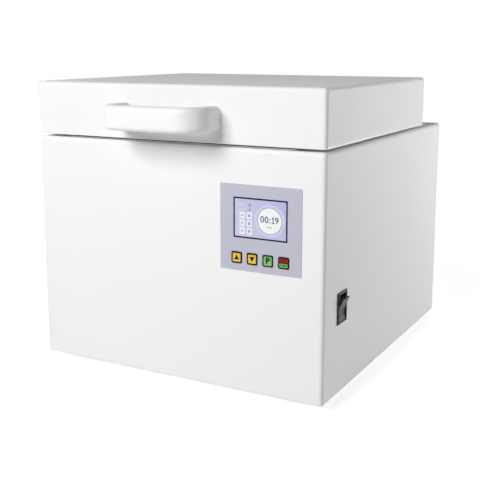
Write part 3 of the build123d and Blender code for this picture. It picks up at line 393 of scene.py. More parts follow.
def dust_recipe(tree, amount):
    normal = add_node(tree, "ShaderNodeNewGeometry"), "Normal"
    upward = add_node(tree, "ShaderNodeSeparateXYZ", {0: normal}), "Z"
    patchy = noise(tree, where(tree), scale=90.0, detail=5.0)
    broken = maths(tree, "MULTIPLY", ranged(tree, upward, STEEPEST_DUSTY, 1), patchy)
    return {"Mask": maths(tree, "MULTIPLY", broken, amount)}


dust = build_group("settled dust", dust_recipe, {"Amount": 0.2})

# %% [markdown]
# ### A boundary in space
#
# Some parts carry two finishes, such as a key that is red above and green below. This group is 1
# beyond a plane and 0 before it, so a material can change over there.

# %% Boundary group
SHARP = 0.0001


def beyond_recipe(tree, point, way, blur):
    reach = vectors(tree, "DOT_PRODUCT", vectors(tree, "SUBTRACT", where(tree), point), way)
    steep = maths(tree, "DIVIDE", reach, blur)
    return {"Mask": maths(tree, "ADD", steep, 0.5, use_clamp=True)}


BEYOND_START = {"Point": (0.0, 0.0, 0.0), "Direction": (0.0, 0.0, 1.0), "Blur": SHARP}
beyond = build_group("beyond a plane", beyond_recipe, BEYOND_START)


# %% Material helpers
def new_finish(name, colour, roughness=0.5, metallic=0.0, coat=0.0, specular=0.5):
    """A material, its tree and its Principled shader, with what is the same all over."""
    material = bpy.data.materials.new(name)
    material.use_nodes = True
    shader = material.node_tree.nodes[PRINCIPLED]
    feed(shader, {"Base Color": colour, "Roughness": roughness, "Metallic": metallic})
    feed(shader, {"Coat Weight": coat, "Specular IOR Level": specular})
    return material, material.node_tree, shader


def blend(tree, mask, under, over):
    """A mix of two colours by a mask. A Mix node has its colours at 6 and 7 and their mix at 2."""
    return add_node(tree, "ShaderNodeMix", {0: mask, 6: under, 7: over}, data_type="RGBA"), 2


def dress(material, colour, roughness, height, distance, strength):
    """Gives a material its colour and roughness, and raises its surface, distance metres at 1."""
    tree = material.node_tree
    relief = {"Height": height, "Distance": distance, "Strength": strength}
    normal = add_node(tree, "ShaderNodeBump", relief), 0
    feed(tree.nodes[PRINCIPLED], {"Base Color": colour, "Roughness": roughness, "Normal": normal})
    return material


def lighter(colour, share):
    """The colour moved towards white by a share."""
    return tuple(c + (1.0 - c) * share for c in colour)


def scaled(colour, factor):
    """The colour made stronger or weaker by a factor, with its hue kept."""
    return tuple(min(c * factor, 1.0) for c in colour)


def worn(tree, colour, dusty, dust_colour, rub_width, wear, paler):
    """The colour with dust on its upward faces, and paler by a share on its rubbed edges."""
    dusted = blend(tree, mask_of(tree, dust, Amount=dusty), colour, dust_colour)
    rub = mask_of(tree, edge_rub, Width=rub_width, Strength=wear)
    return blend(tree, rub, dusted, lighter(colour, paler))


print("half as far from white as black is:", lighter((0, 0, 0), 0.5))

# %% [markdown]
# ## The finishes
#
# ### Painted steel
#
# The cabinet, the lid and the rear panel are powder coated: sprayed dry and baked, which leaves a
# fine peel and satin faces. At the folds the coat flows thin and glossy, so they catch the lamps a
# little more. The edge group makes that gloss too, with a greater width.


# %% Powder coat
COAT_DUST, LIGHT_DUST = (0.62, 0.60, 0.57), (0.45, 0.43, 0.40)


def powder_coat(name, colour):
    """Satin white coat with a fine peel, glossier at its folds."""
    material, tree, shader = new_finish(name, colour, specular=0.05)
    fold = mask_of(tree, edge_rub, Width=0.004, Strength=1.6)
    feed(shader, {"Coat Roughness": 0.25, "Coat Weight": fold})
    height, roughness = skin_of(tree, grains=620.0, patches=9.0, roughness=0.5, spread=0.08)
    used = worn(tree, colour, 0.12, COAT_DUST, rub_width=0.0016, wear=0.7, paler=0.6)
    return dress(material, used, roughness, height, distance=0.00004, strength=0.5)


# %% [markdown]
# ### Moulded plastic and rubber
#
# These differ only in colour, gloss and grain: the handle is satin and nearly smooth, the fan
# frames are matt with a spark-eroded grain, and the feet are dull rubber.

# %% Plastic and rubber
def moulded(name, colour, roughness, grains, height, wear, coat=0.0, dusty=0.0, shine=0.5):
    """Moulded material with its grain, its wear and its dust."""
    material, tree, _ = new_finish(name, colour, coat=coat, specular=shine)
    raised, gloss = skin_of(tree, grains=grains, patches=40.0, roughness=roughness, spread=0.08)
    used = worn(tree, colour, dusty, LIGHT_DUST, rub_width=0.0006, wear=wear, paler=0.2)
    return dress(material, used, gloss, raised, distance=height, strength=0.6)


# %% [markdown]
# ### Bare metal
#
# Zinc-plated sheet, hinges, wire and polished aluminium differ in how rough they are, how deep the
# brushing is and which way it runs. Metal has no colour but what it mirrors, and the studio is
# white, so its own grey is darkened, a painted reflection of darker surroundings, deep enough to
# tell it from paint. Darker cloudy patches stand for handling and oxide, and are painted dark
# reflection as well.


# %% Metal
def bare_metal(name, colour, roughness, lines, depth, spread=0.12, cloudy=1.4):
    """Metal with fine lines along one direction, cloudy patches and brighter edges."""
    material, tree, _ = new_finish(name, colour, metallic=1.0)
    drawn = place_group(tree, brushing, Lines_per_metre=lines, Roughness=roughness, Spread=spread)
    rub = mask_of(tree, edge_rub, Width=0.0004, Strength=0.6)
    cloud = skin_of(tree, grains=300.0, patches=24.0, roughness=0.0, spread=cloudy)[1]
    shade = blend(tree, (drawn, "Shade"), scaled(colour, 0.6), colour)
    # darker cloudy patches: handling and oxide, and painted reflection of dark surroundings
    oxide_and_painted_reflection = blend(tree, cloud, shade, scaled(colour, 0.4))
    bright = blend(tree, rub, oxide_and_painted_reflection, lighter(colour, 0.45))
    gloss, grooves = (drawn, "Roughness"), (drawn, "Height")
    return dress(material, bright, gloss, grooves, distance=depth, strength=0.4)


# %% [markdown]
# ### Glass
#
# The chamber's floor is clear plate glass, faintly green. The lamp tubes are coated white inside,
# so they are milky under a glossy skin. A lamp is one solid, so planes across it mark where its
# moulded base and its brass pins start, and where the glass gets a little darker near the
# electrodes. The fuses are white ceramic, with a metal cap beyond a plane at each end.

# %% Glass
GLASS_GREEN = (0.93, 0.98, 0.96)
BASE_LENGTH, ELECTRODE_REACH = 28 * MM, 14 * MM
BASE_PLASTIC, PIN_METAL = (0.70, 0.69, 0.66), (0.58, 0.46, 0.24)
CERAMIC, CAP_METAL = (0.78, 0.76, 0.70), (0.55, 0.55, 0.53)


def plate_glass(name):
    """Clear plate with a trace of wipe marks in its gloss."""
    material, tree, shader = new_finish(name, GLASS_GREEN)
    feed(shader, {"Transmission Weight": 1.0, "IOR": 1.5})
    height, roughness = skin_of(tree, grains=25.0, patches=18.0, roughness=0.03, spread=0.05)
    return dress(material, GLASS_GREEN, roughness, height, distance=0.00002, strength=0.3)


def lamp_body(name, colour, base_start, along):
    """Milky lamp tube with its moulded base and pins. Along is the way from tube to pins."""
    material, tree, shader = new_finish(name, colour)
    height, powder = skin_of(tree, grains=500.0, patches=60.0, roughness=0.35, spread=0.2)
    shade = blend(tree, powder, scaled(colour, 0.9), lighter(colour, 0.3))
    masks = {}
    for part, shift, blur, tone in (
        ("electrode", -ELECTRODE_REACH / 2, ELECTRODE_REACH, scaled(colour, 0.62)),
        ("base", 0, 2 * SHARP, BASE_PLASTIC),
        ("pins", BASE_LENGTH, 2 * SHARP, PIN_METAL),
    ):
        point = base_start + shift * along
        masks[part] = mask_of(tree, beyond, Point=point, Direction=along, Blur=blur)
        shade = blend(tree, masks[part], shade, tone)
    gloss = ranged(tree, masks["base"], 0, 1, to_low=0.8, to_high=0.0)
    feed(shader, {"Coat Roughness": 0.03, "Coat Weight": gloss, "Metallic": masks["pins"]})
    return dress(material, shade, powder, height, distance=0.00001, strength=0.3)


def capped_fuse(name, low, high, cap):
    """Ceramic fuse along Y between two points, with a metal cap at each end."""
    material, tree, shader = new_finish(name, CERAMIC)
    rear = mask_of(tree, beyond, Point=(0, high.y - cap, 0), Direction=(0, 1, 0), Blur=SHARP)
    front = mask_of(tree, beyond, Point=(0, low.y + cap, 0), Direction=(0, -1, 0), Blur=SHARP)
    either = maths(tree, "MAXIMUM", rear, front)
    feed(shader, {"Metallic": either})
    height, roughness = skin_of(tree, grains=900.0, patches=200.0, roughness=0.3, spread=0.15)
    tone = blend(tree, either, CERAMIC, CAP_METAL)
    return dress(material, tone, roughness, height, distance=0.00001, strength=0.4)


# %% [markdown]
# ### Printed film
#
# The panel is one printed polyester film, matt and very slightly dimpled. The keys are the same
# film in colour. Their upper colour runs into the lower one, and dark sides outline them.

# %% Film
key_low, key_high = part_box("key_up")
key_face_y = key_low.y
key_centre_z = (key_low.z + key_high.z) / 2
KEY_SIZE = 14 * MM
KEY_SIDE_DEPTH = 0.05 * MM
KEY_SIDE = (0.02, 0.02, 0.02)


def printed_film(name, colour):
    """Matt film, and its colour that drifts a little."""
    material, tree, _ = new_finish(name, colour, specular=0.15)
    height, roughness = skin_of(tree, grains=1400.0, patches=30.0, roughness=0.5, spread=0.3)
    drift = blend(tree, roughness, scaled(colour, 0.96), scaled(colour, 1.04))
    return dress(material, drift, roughness, height, distance=0.00002, strength=0.5), drift


def key_film(name, upper, lower, change=KEY_SIZE):
    """A key's film: one colour above, another below, changing over a height, and dark sides."""
    material, drift = printed_film(name, upper)
    tree, side_y = material.node_tree, key_face_y + KEY_SIDE_DEPTH
    fade = mask_of(tree, beyond, Point=(0, 0, key_centre_z), Direction=(0, 0, 1), Blur=change)
    side = mask_of(tree, beyond, Point=(0, side_y, 0), Direction=(0, 1, 0), Blur=SHARP / 2)
    sided = blend(tree, side, blend(tree, fade, lower, drift), KEY_SIDE)
    feed(tree.nodes[PRINCIPLED], {"Base Color": sided})
    return material


print(f"the keys' faces are at y {key_face_y / MM:.1f} mm")

# %% [markdown]
# ### The screen
#
# A lit screen looks the same in light and in shade, so a part of its colour is emission. The ground
# is lavender, paler to the left, with soft slanting clouds.

# %% Screen
GLOW = 0.45
CLOUD_SLANT = radians(38)


def lit_screen(name, colour, low, high):
    """A lit panel whose colour is paler at the left. Low and high are its corners."""
    material, tree, shader = new_finish(name, colour, specular=0.2)
    middle, width = (low + high) / 2, (high - low).x
    left = mask_of(tree, beyond, Point=middle, Direction=(-1, 0, -0.5), Blur=width)
    height, cells = skin_of(tree, grains=2500.0, patches=300.0, roughness=0.2, spread=0.5)
    slant = {"Vector": where(tree), "Rotation": (0, CLOUD_SLANT, 0), "Scale": (30, 30, 110)}
    cloud = noise(tree, (add_node(tree, "ShaderNodeMapping", slant), 0), scale=1.0)
    shades = []
    for share in (1 - GLOW, 1.0):
        near, far = scaled(colour, share), scaled(lighter(colour, 0.36), share)
        shade = blend(tree, left, near, far)
        clouded = blend(tree, cloud, shade, scaled(lighter(colour, 0.3), share))
        shades.append(blend(tree, cells, clouded, scaled(colour, 0.9 * share)))
    feed(shader, {"Emission Color": shades[1], "Emission Strength": GLOW})
    return dress(material, shades[0], 0.3, height, distance=0.000005, strength=0.3)


# %% [markdown]
# ### Circuit board
#
# The copper tracks under the lacquer are slightly paler, raised lines. The narrow gaps of a brick
# pattern stand for them.


# %% Board
def circuit_board(name, colour):
    """Green lacquer over fine tracks."""
    material, tree, _ = new_finish(name, colour, coat=0.3)
    upright = {"Vector": where(tree), "Rotation": (radians(90), 0, 0)}
    place = (add_node(tree, "ShaderNodeMapping", upright), 0)
    bricks = {"Vector": place, "Scale": 160.0, "Mortar Size": 0.05}
    tracks = (add_node(tree, "ShaderNodeTexBrick", bricks, offset=0.37), "Fac")
    copper = blend(tree, tracks, colour, lighter(colour, 0.18))
    dusted = blend(tree, mask_of(tree, dust, Amount=0.2), copper, (0.4, 0.38, 0.35))
    return dress(material, dusted, 0.3, tracks, distance=0.00004, strength=0.6)


# %% [markdown]
# ## Which finish each part has
#
# The record gives every part a slot name and a colour. Two tables make the metals and the moulded
# finishes, the others have recipes of their own, and every part gets the material of its slot.

# %% Metals
ALONG_X, ALONG_Y, ALONG_Z = (40, 1600, 1600), (1600, 40, 1600), (1600, 1600, 40)
FINE_LINES, WIRE_LINES = (900, 900, 900), (400, 400, 400)
POLISHED = {"spread": 0.06, "cloudy": 0.4}

finishes = {}
# the slot, its name, the share of the slot's colour (darker, a painted reflection of dark
# surroundings), the roughness, the lines and their depth
for slot, name, share, roughness, lines, depth, more in (
    ("zinc_sheet", "zinc-plated sheet", 0.72, 0.38, ALONG_X, 0.00002, {}),
    ("polished_aluminium", "mirror aluminium", 0.74, 0.10, ALONG_Z, 0.000006, POLISHED),
    ("screw_steel", "screw steel", 0.55, 0.36, FINE_LINES, 0.00001, {}),
    ("hinge_steel", "brushed hinge steel", 0.55, 0.46, ALONG_X, 0.00001, {}),
    ("guard_chrome", "chromed wire", 0.55, 0.24, WIRE_LINES, 0.000004, {}),
    ("module_frame", "display frame steel", 0.8, 0.35, ALONG_X, 0.00001, {}),
    ("filter_can", "tinned filter can", 0.7, 0.34, ALONG_Z, 0.00001, {}),
    ("magnet_nickel", "nickel plating", 0.7, 0.15, WIRE_LINES, 0.000004, {}),
    ("pin_brass", "pin brass", 0.85, 0.22, ALONG_Y, 0.00001, {}),
):
    # the share darkens the slot's colour: a painted reflection of darker surroundings
    grey = scaled(paint_of[slot], share)
    finishes[slot] = bare_metal(name, grey, roughness, lines, depth, **more)
print(len(finishes), "metals")

# %% Moulded finishes
SATIN, MATT, DARK = {"coat": 0.06, "shine": 0.35}, {"shine": 0.3}, {"shine": 0.2}
# the slot, its name, the roughness, the grains per metre and their height, the wear and the rest
for slot, name, roughness, grains, height, wear, more in (
    ("white_handle", "satin handle plastic", 0.3, 300, 0.00001, 0.2, SATIN),
    ("socket_white", "lamp socket plastic", 0.45, 900, 0.00002, 0.2, {"dusty": 0.1}),
    ("black_plastic", "grained black plastic", 0.5, 1800, 0.00003, 0.2, {"dusty": 0.1, **DARK}),
    ("rocker_black", "rocker black", 0.36, 700, 0.00001, 0.2, DARK),
    ("foot_rubber", "foot rubber", 0.75, 1500, 0.00005, 0.2, {"dusty": 0.2, **MATT}),
    ("seal_rubber", "seal rubber", 0.6, 1200, 0.00003, 0.2, {"dusty": 0.1, **MATT}),
    ("lead_rubber", "lead rubber", 0.55, 1200, 0.00003, 0.2, {"dusty": 0.2, **MATT}),
    ("component_black", "component epoxy", 0.5, 1200, 0.00002, 0.2, MATT),
    ("ballast_white", "ballast coat", 0.45, 700, 0.00002, 0.3, {"dusty": 0.3}),
):
    finishes[slot] = moulded(name, paint_of[slot], roughness, grains, height, wear, **more)
print(len(finishes), "metals and moulded finishes")

# %% The other finishes
SCREEN_COLOUR = (0.43, 0.44, 0.70)
AMBER, YELLOW = (0.86, 0.44, 0.03), (0.72, 0.58, 0.08)
GREEN, PALE_GREEN = (0.17, 0.50, 0.12), (0.27, 0.55, 0.19)
STOP_RED, START_GREEN = (0.46, 0.012, 0.010), (0.20, 0.50, 0.13)
PIN_LENGTH, FUSE_CAP = 6.5 * MM, 5 * MM
FILM_SHARE = 0.88

lamp_white = paint_of["lamp_glass"]
cross_base = Vector((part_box("front_lamps")[1].x - PIN_LENGTH - BASE_LENGTH, 0, 0))
side_base = Vector((0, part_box("left_lamps")[1].y - PIN_LENGTH - BASE_LENGTH, 0))
overlay = scaled(paint_of["overlay_film"], FILM_SHARE)
finishes |= {
    "white_paint": powder_coat("white powder coat", paint_of["white_paint"]),
    "clear_glass": plate_glass("clear plate glass"),
    "lamp_glass": lamp_body("lamps across the box", lamp_white, cross_base, Vector((1, 0, 0))),
    "overlay_film": printed_film("lavender overlay film", overlay)[0],
    "display_screen": lit_screen("lit lavender screen", SCREEN_COLOUR, *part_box("display_lens")),
    "key_amber": key_film("amber key film", AMBER, YELLOW),
    "key_green": key_film("green key film", GREEN, PALE_GREEN),
    "key_red_green": key_film("red and green key film", STOP_RED, START_GREEN, 2 * SHARP),
    "board_green": circuit_board("green board lacquer", paint_of["board_green"]),
    "fuse_glass": capped_fuse("capped ceramic", *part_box("fuses"), FUSE_CAP),
}
side_lamp = lamp_body("lamps along the side walls", lamp_white, side_base, Vector((0, 1, 0)))
for name, part in nodes.items():
    part.data.materials.clear()
    along_side = name in ("left_lamps", "right_lamps")
    part.data.materials.append(side_lamp if along_side else finishes[slot_of[name]])
print(f"{len(finishes)} finishes on {len(nodes)} parts")

# %% [markdown]
# ## How new pieces are made
#
# Flat things, such as a legend or a frame, are drawn as 2D curves. A curve inside another becomes a
# hole, and extruding gives the plate its thickness.


# %% Place pieces
def finish_piece(mesh, name, node, turn=STILL, material=None):
    """Puts a mesh in the frame, with the slot of a part and on its body."""
    slot, body = slot_of[node], body_of[node]
    mesh.transform(turn)
    mesh.materials.clear()
    mesh.materials.append(material or finishes[slot])
    piece = put_in_scene(name, mesh)
    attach(piece, body)
    return piece


def settled_mesh(holder):
    """The mesh of an object with its modifiers or its filled curves. The object goes."""
    bpy.context.view_layer.update()
    seen = holder.evaluated_get(bpy.context.evaluated_depsgraph_get())
    mesh = bpy.data.meshes.new_from_object(seen)
    bpy.data.objects.remove(holder)
    return mesh


def curve_mesh(curve, thickness):
    """The mesh of a filled curve or text, standing on the plane z = 0."""
    curve.extrude = thickness / 2
    mesh = settled_mesh(put_in_scene("plate", curve))
    mesh.transform(Matrix.Translation((0, 0, thickness / 2)))
    return mesh


def flat_form(loops, thickness):
    """A plate from closed loops of points, as a mesh that stands on the plane z = 0."""
    curve = bpy.data.curves.new("plate", "CURVE")
    curve.dimensions = "2D"
    curve.fill_mode = "BOTH"
    for points in loops:
        spline = curve.splines.new("POLY")
        spline.points.add(len(points) - 1)
        for spot, (x, y) in zip(spline.points, points):
            spot.co = (x, y, 0, 1)
        spline.use_cyclic_u = True
    return curve_mesh(curve, thickness)


def words(text, height, thickness, weight):
    """Centred lettering as a raised plate. Weight makes it bolder."""
    curve = bpy.data.curves.new("letters", "FONT")
    curve.body = text
    curve.align_x = curve.align_y = "CENTER"
    curve.size = height
    curve.offset = weight
    curve.resolution_u = 4
    return curve_mesh(curve, thickness)


def rounded(width, height, radius, steps=6, centre=(0, 0)):
    """The points of a rounded rectangle."""
    points = []
    for n, (side, top) in enumerate(((1, 1), (-1, 1), (-1, -1), (1, -1))):
        x = centre[0] + side * (width / 2 - radius)
        y = centre[1] + top * (height / 2 - radius)
        turns = [radians(90) * (n + k / steps) for k in range(steps + 1)]
        points += [(x + radius * cos(turn), y + radius * sin(turn)) for turn in turns]
    return points


def ring(radius, steps=48):
    """The points of a circle."""
    turns = [tau * k / steps for k in range(steps)]
    return [(radius * cos(turn), radius * sin(turn)) for turn in turns]


def on_front(x, y, z):
    """Turns a plate to stand upright at a point, with its face towards the user."""
    return Matrix.Translation((x, y, z)) @ spun(90, "X")


print("plates stand on the front by", on_front(0, 0, 0).to_euler())

# %% [markdown]
# ## The screen's picture
#
# The screen shows a plain timer: a white disc with four digits, two faint rows of text at the upper
# left, and six small buttons. Each is a very thin plate on the lens, in the order in which they
# cover each other. The lens has a dark frame printed round its edge.

# %% Flat colours of the picture
lens_low, lens_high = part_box("display_lens")
lens_middle, lens_size = (lens_low + lens_high) / 2, lens_high - lens_low
FILM = 0.06 * MM


def picture_ink(name, colour, glow=0.0):
    """An ink with a trace of unevenness. Glow is the share of its colour that it gives off."""
    material, tree, shader = new_finish(name, colour, specular=0.12)
    height, roughness = skin_of(tree, grains=2000.0, patches=60.0, roughness=0.5, spread=0.3)
    dim = scaled(colour, 1 - glow)
    tone = blend(tree, roughness, scaled(dim, 0.95), scaled(dim, 1.03))
    feed(shader, {"Emission Color": colour, "Emission Strength": glow})
    return dress(material, tone, roughness, height, distance=0.000005, strength=0.3)


inks = {}
for ink, of, colour, glow in (
    ("white", "screen", (0.90, 0.91, 0.90), GLOW),
    ("button", "screen", (0.80, 0.82, 0.93), GLOW),
    ("pale", "screen", (0.66, 0.67, 0.86), GLOW),
    ("haze", "screen", (0.30, 0.30, 0.50), GLOW),
    ("violet", "screen", (0.090, 0.070, 0.200), GLOW),
    ("navy", "screen", (0.006, 0.008, 0.030), 0.0),
    ("black", "legend", (0.004, 0.003, 0.002), 0.0),
    ("forest", "legend", (0.008, 0.050, 0.010), 0.0),
    ("relief grey", "switch", (0.075, 0.075, 0.075), 0.0),
):
    inks[ink] = picture_ink(f"{of} {ink}", colour, glow)


def picture(name, loops, ink, x, z, layer=0, thickness=FILM):
    """One plate of the picture, its middle at x and z, raised by its layer."""
    plate = flat_form(loops, thickness) if isinstance(loops, list) else loops
    turn = on_front(x, lens_low.y - layer * FILM, z)
    return finish_piece(plate, name, "display_lens", turn, inks[ink])


print(len(inks), "inks")

# %% Frame and disc
FRAME_WIDTH, FRAME_THICKNESS = 1.8 * MM, 3 * FILM
DISC_RADIUS = 15.2 * MM
disc_x, disc_z = lens_middle.x + 12.3 * MM, lens_middle.z - 1.1 * MM

frame_loops = [
    rounded(lens_size.x, lens_size.z, 0.6 * MM),
    rounded(lens_size.x - 2 * FRAME_WIDTH, lens_size.z - 2 * FRAME_WIDTH, 0.5 * MM),
]
middle = lens_middle.x, lens_middle.z
picture("screen_frame", frame_loops, "navy", *middle, thickness=FRAME_THICKNESS)
halos = ((19.2, 17.8, "pale"), (17.2, 16.5, "pale"), (15.8, 15.2, "haze"))
for n, (outer, inner, ink) in enumerate(halos):
    picture(f"screen_halo_{n}", [ring(outer * MM), ring(inner * MM)], ink, disc_x, disc_z)
picture("screen_disc", [ring(DISC_RADIUS)], "white", disc_x, disc_z)
print(f"disc {2 * DISC_RADIUS / MM:.1f} mm across, at x {disc_x / MM:.1f} z {disc_z / MM:.1f}")

# %% [markdown]
# ### The digits
#
# Blender's built-in typeface is plain enough for a timer, and a text object is a curve, so it is
# extruded like the other plates. Its 1 is a bare bar, which looks lost at this size, so that digit
# is drawn as a polygon with a flag and a foot.

# %% Digits
DIGIT_HEIGHT = 7.6 * MM
DIGIT_SIZE = DIGIT_HEIGHT / 0.72  # a digit is lower than the letter size that it is set in
STROKE, BOLDER = 1.15 * MM, 0.1 * MM
digits_z = disc_z + 1.0 * MM

for n, (text, offset) in enumerate((("0", -9.5), ("0", -3.9), (":", 0.4), ("9", 9.3))):
    digit = words(text, DIGIT_SIZE, FILM, BOLDER)
    picture(f"screen_digit_{n}", digit, "violet", disc_x + offset * MM, digits_z, 1)

half, foot, flag = DIGIT_HEIGHT / 2, 1.9 * MM, 1.8 * MM
bar, base = STROKE / 2, -DIGIT_HEIGHT / 2 + 0.8 * STROKE
one = [(-foot, -half), (foot, -half), (foot, base), (bar, base), (bar, half), (-bar, half)]
one += [(-flag, half - 1.5 * MM), (-flag, half - 2.8 * MM), (-bar, half - 1.7 * MM)]
one += [(-bar, base), (-foot, base)]
picture("screen_digit_one", [one], "violet", disc_x + 4.6 * MM, digits_z, 1)
unit_places = [(n * 1.7 * MM, 0) for n in (-1.5, -0.5, 0.5, 1.5)]
unit_marks = [rounded(1.1 * MM, 1.3 * MM, 0.2 * MM, 2, place) for place in unit_places]
picture("screen_timer_unit", unit_marks, "haze", disc_x - 0.4 * MM, disc_z - 7.4 * MM, 1)

# %% Rows and buttons at the left of the screen
ROW_X, ROW_STEP = lens_low.x + 15.5 * MM, 2.1 * MM

row_places = [(k * ROW_STEP, 0) for k in (-3.3, -2.3, -1.3, -0.3)]
row_marks = [rounded(1.3 * MM, 1.7 * MM, 0.2 * MM, 2, place) for place in row_places]
warning = [(-1.9 * MM, -1.3 * MM), (1.9 * MM, -1.3 * MM), (0, 1.6 * MM)]
for n, (drop, sign) in enumerate(((8.6, ring(1.7 * MM, 20)), (13.6, warning))):
    z = lens_high.z - drop * MM
    picture(f"screen_row_{n}", row_marks, "pale", ROW_X, z)
    picture(f"screen_sign_{n}", [sign], "haze", ROW_X + 6 * MM, z)

button_loops = [rounded(7.2 * MM, 8.0 * MM, 0.9 * MM)]
bars = [rounded(2.6 * MM, 0.7 * MM, 0.2 * MM, 2, (0, k * 1.3 * MM)) for k in (-0.5, 0.5)]
eye = [ring(1.5 * MM, 16), ring(0.7 * MM, 12)]
for row in range(3):
    z = lens_high.z - (21.2 + 9.3 * row) * MM
    for column, (shift, icon, ink) in enumerate(((11.6, bars, "haze"), (21.0, eye, "violet"))):
        x = lens_low.x + shift * MM
        picture(f"screen_button_{row}_{column}", button_loops, "button", x, z)
        picture(f"screen_icon_{row}_{column}", icon, ink, x, z, 1)
print("two rows and six small buttons")

# %% [markdown]
# ## The keys' legends
#
# Each key has a dark outline and a sign: a triangle up, a triangle down, the letter P, and STOP and
# START on the two halves of the last one. The plates ride on the key's own body.

# %% Legends
OUTLINE = 1.75 * MM
LEGEND = 0.08 * MM
TRIANGLE = 3.3 * MM
KEYS = ("key_up", "key_down", "key_program", "key_start_stop")


def legend(name, mesh, key, z=0.0, ink="black"):
    """A raised print on a key's face."""
    low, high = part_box(key)
    turn = on_front(((low + high) / 2).x, key_face_y, ((low + high) / 2).z + z)
    return finish_piece(mesh, name, key, turn, inks[ink])


key_face = KEY_SIZE - 0.05 * MM
key_window = key_face - 2 * OUTLINE
for key in KEYS:
    edge = [rounded(key_face, key_face, 2.0 * MM), rounded(key_window, key_window, 1.0 * MM)]
    ink = "forest" if key == "key_program" else "black"
    legend(f"{key}_outline", flat_form(edge, LEGEND), key, ink=ink)
up_sign = [(-TRIANGLE, -0.8 * TRIANGLE), (TRIANGLE, -0.8 * TRIANGLE), (0, 0.95 * TRIANGLE)]
down_sign = [(x, -y) for x, y in up_sign]
legend("key_up_sign", flat_form([up_sign], LEGEND), "key_up")
legend("key_down_sign", flat_form([down_sign], LEGEND), "key_down")
legend("key_program_letter", words("P", 9.6 * MM, LEGEND, 0.42 * MM), "key_program")
split = flat_form([rounded(key_window, 1.5 * MM, 0.02 * MM, 2)], LEGEND)
legend("key_start_stop_split", split, "key_start_stop")
for name, text, height, z in (("stop", "STOP", 3.2, 2.9), ("start", "START", 2.9, -3.0)):
    word = words(text, height * MM, LEGEND, BOLDER)
    legend(f"key_{name}_word", word, "key_start_stop", z * MM)
print("legends on", ", ".join(KEYS))

# %% [markdown]
# ## Marks on the rocker
#
# The bar and the ring are moulded into the rocker, hardly paler than it. Its face is hollow, so a
# ray from each point of a flat mark finds the surface, and the point is put just above it.

# %% Bar and ring on the rocker
MARK_LIFT, MARK_RISE, MARK_STEP = 0.06 * MM, 0.05 * MM, 0.6 * MM
RAY_START = 20 * MM


def divided(points):
    """A loop whose long edges are split, so that its plate can follow a hollow face."""
    dense = []
    for (x0, y0), (x1, y1) in zip(points, points[1:] + points[:1]):
        parts = max(1, round(hypot(x1 - x0, y1 - y0) / MARK_STEP))
        dense += [(x0 + (x1 - x0) * k / parts, y0 + (y1 - y0) * k / parts) for k in range(parts)]
    return dense


def printed_on(name, mesh, node, seat, away):
    """Lays a flat mark on a part's surface. The seat turns it to look along away."""
    solid = nodes[node].data
    corners = [nodes[node].matrix_world @ v.co for v in solid.vertices]
    surface = BVHTree.FromPolygons(corners, [list(f.vertices) for f in solid.polygons])
    mesh.transform(seat)
    flat = seat.inverted()
    lowest = min((flat @ v.co).z for v in mesh.vertices)
    for point in mesh.vertices:
        height = (flat @ point.co).z - lowest
        spot = surface.ray_cast(point.co + away * RAY_START, -away)[0]
        if spot is not None:
            point.co = spot + away * (MARK_LIFT - MARK_RISE + height)
    return finish_piece(mesh, name, node, material=inks["relief grey"])


rocker_low, rocker_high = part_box("power_rocker")
rocker_middle = (rocker_low + rocker_high) / 2
look_right = spun(90, "Z") @ spun(90, "X")
for name, loops, z in (
    ("rocker_bar", [rounded(1.1 * MM, 5.0 * MM, 0.2 * MM, 2)], 7.5 * MM),
    ("rocker_ring", [ring(2.5 * MM, 28), ring(1.6 * MM, 28)], -7.5 * MM),
):
    mark = flat_form([divided(points) for points in loops], MARK_RISE)
    seat = Matrix.Translation((rocker_high.x, rocker_middle.y, rocker_middle.z + z)) @ look_right
    printed_on(name, mark, "power_rocker", seat, Vector((1, 0, 0)))
    print(name, "at z", round((rocker_middle.z + z) / MM, 1))

# %% [markdown]
# ## Turned and joined forms
#
# Screws and hubs are turned from a profile, as on a lathe. Where the profile touches the axis its
# row is one point, so the faces there are triangles. Several forms are joined into one mesh, which
# makes one piece of a whole group of screws.


# %% A lathe
def skinned(rows, name, closed=False):
    """A form with faces from each row of points to the next, and if closed back to the first."""
    form = bmesh.new()
    rows = [[form.verts.new(point) for point in row] for row in rows]
    around = max(len(row) for row in rows)
    for lower, upper in zip(rows, rows[1:] + rows[:closed]):
        for k in range(around):
            a, b = lower[k % len(lower)], lower[(k + 1) % len(lower)]
            c, d = upper[(k + 1) % len(upper)], upper[k % len(upper)]
            corners = list(dict.fromkeys((a, b, c, d)))
            if len(corners) > 2:
                form.faces.new(corners)
    bmesh.ops.recalc_face_normals(form, faces=form.faces)
    return mesh_of(form, name)


def turned(profile, steps=32):
    """A closed form turned round Z from a profile that starts and ends on the axis."""
    circles = [(ring(radius, steps) if radius else [(0, 0)], z) for radius, z in profile]
    return skinned([[(x, y, z) for x, y in circle] for circle, z in circles], "turned")


def join_meshes(parts):
    """One mesh from (mesh, matrix) pairs."""
    form = bmesh.new()
    for mesh, turn in parts:
        start = len(form.verts)
        form.from_mesh(mesh)
        form.verts.ensure_lookup_table()
        bmesh.ops.transform(form, matrix=turn, verts=form.verts[start:])
    return mesh_of(form, "joined")


def smooth(mesh, angle=35):
    """Shades a mesh smoothly, with sharp edges above the angle."""
    mesh.shade_smooth()
    mesh.set_sharp_from_angle(angle=radians(angle))
    return mesh


print("lathe ready")

# %% [markdown]
# ## The lid's seal
#
# The lid closes on a rubber profile: a flat foot that is glued to the lid, and a soft bulb with a
# groove below it. The section is carried round a rounded rectangle, whose corner radius is read
# from the solid part.


# %% Bulb seal
def carried_round(path, section):
    """The form of a section (outwards, up) that is carried along a closed path."""
    rows = []
    for k, (x, y) in enumerate(path):
        (x0, y0), (x1, y1) = path[k - 1], path[(k + 1) % len(path)]
        out = Vector((y1 - y0, x0 - x1)).normalized()
        rows.append([(x + u * out.x, y + u * out.y, w) for u, w in section])
    return skinned(rows, "carried", closed=True)


SEAL_WIDTH = 8 * MM
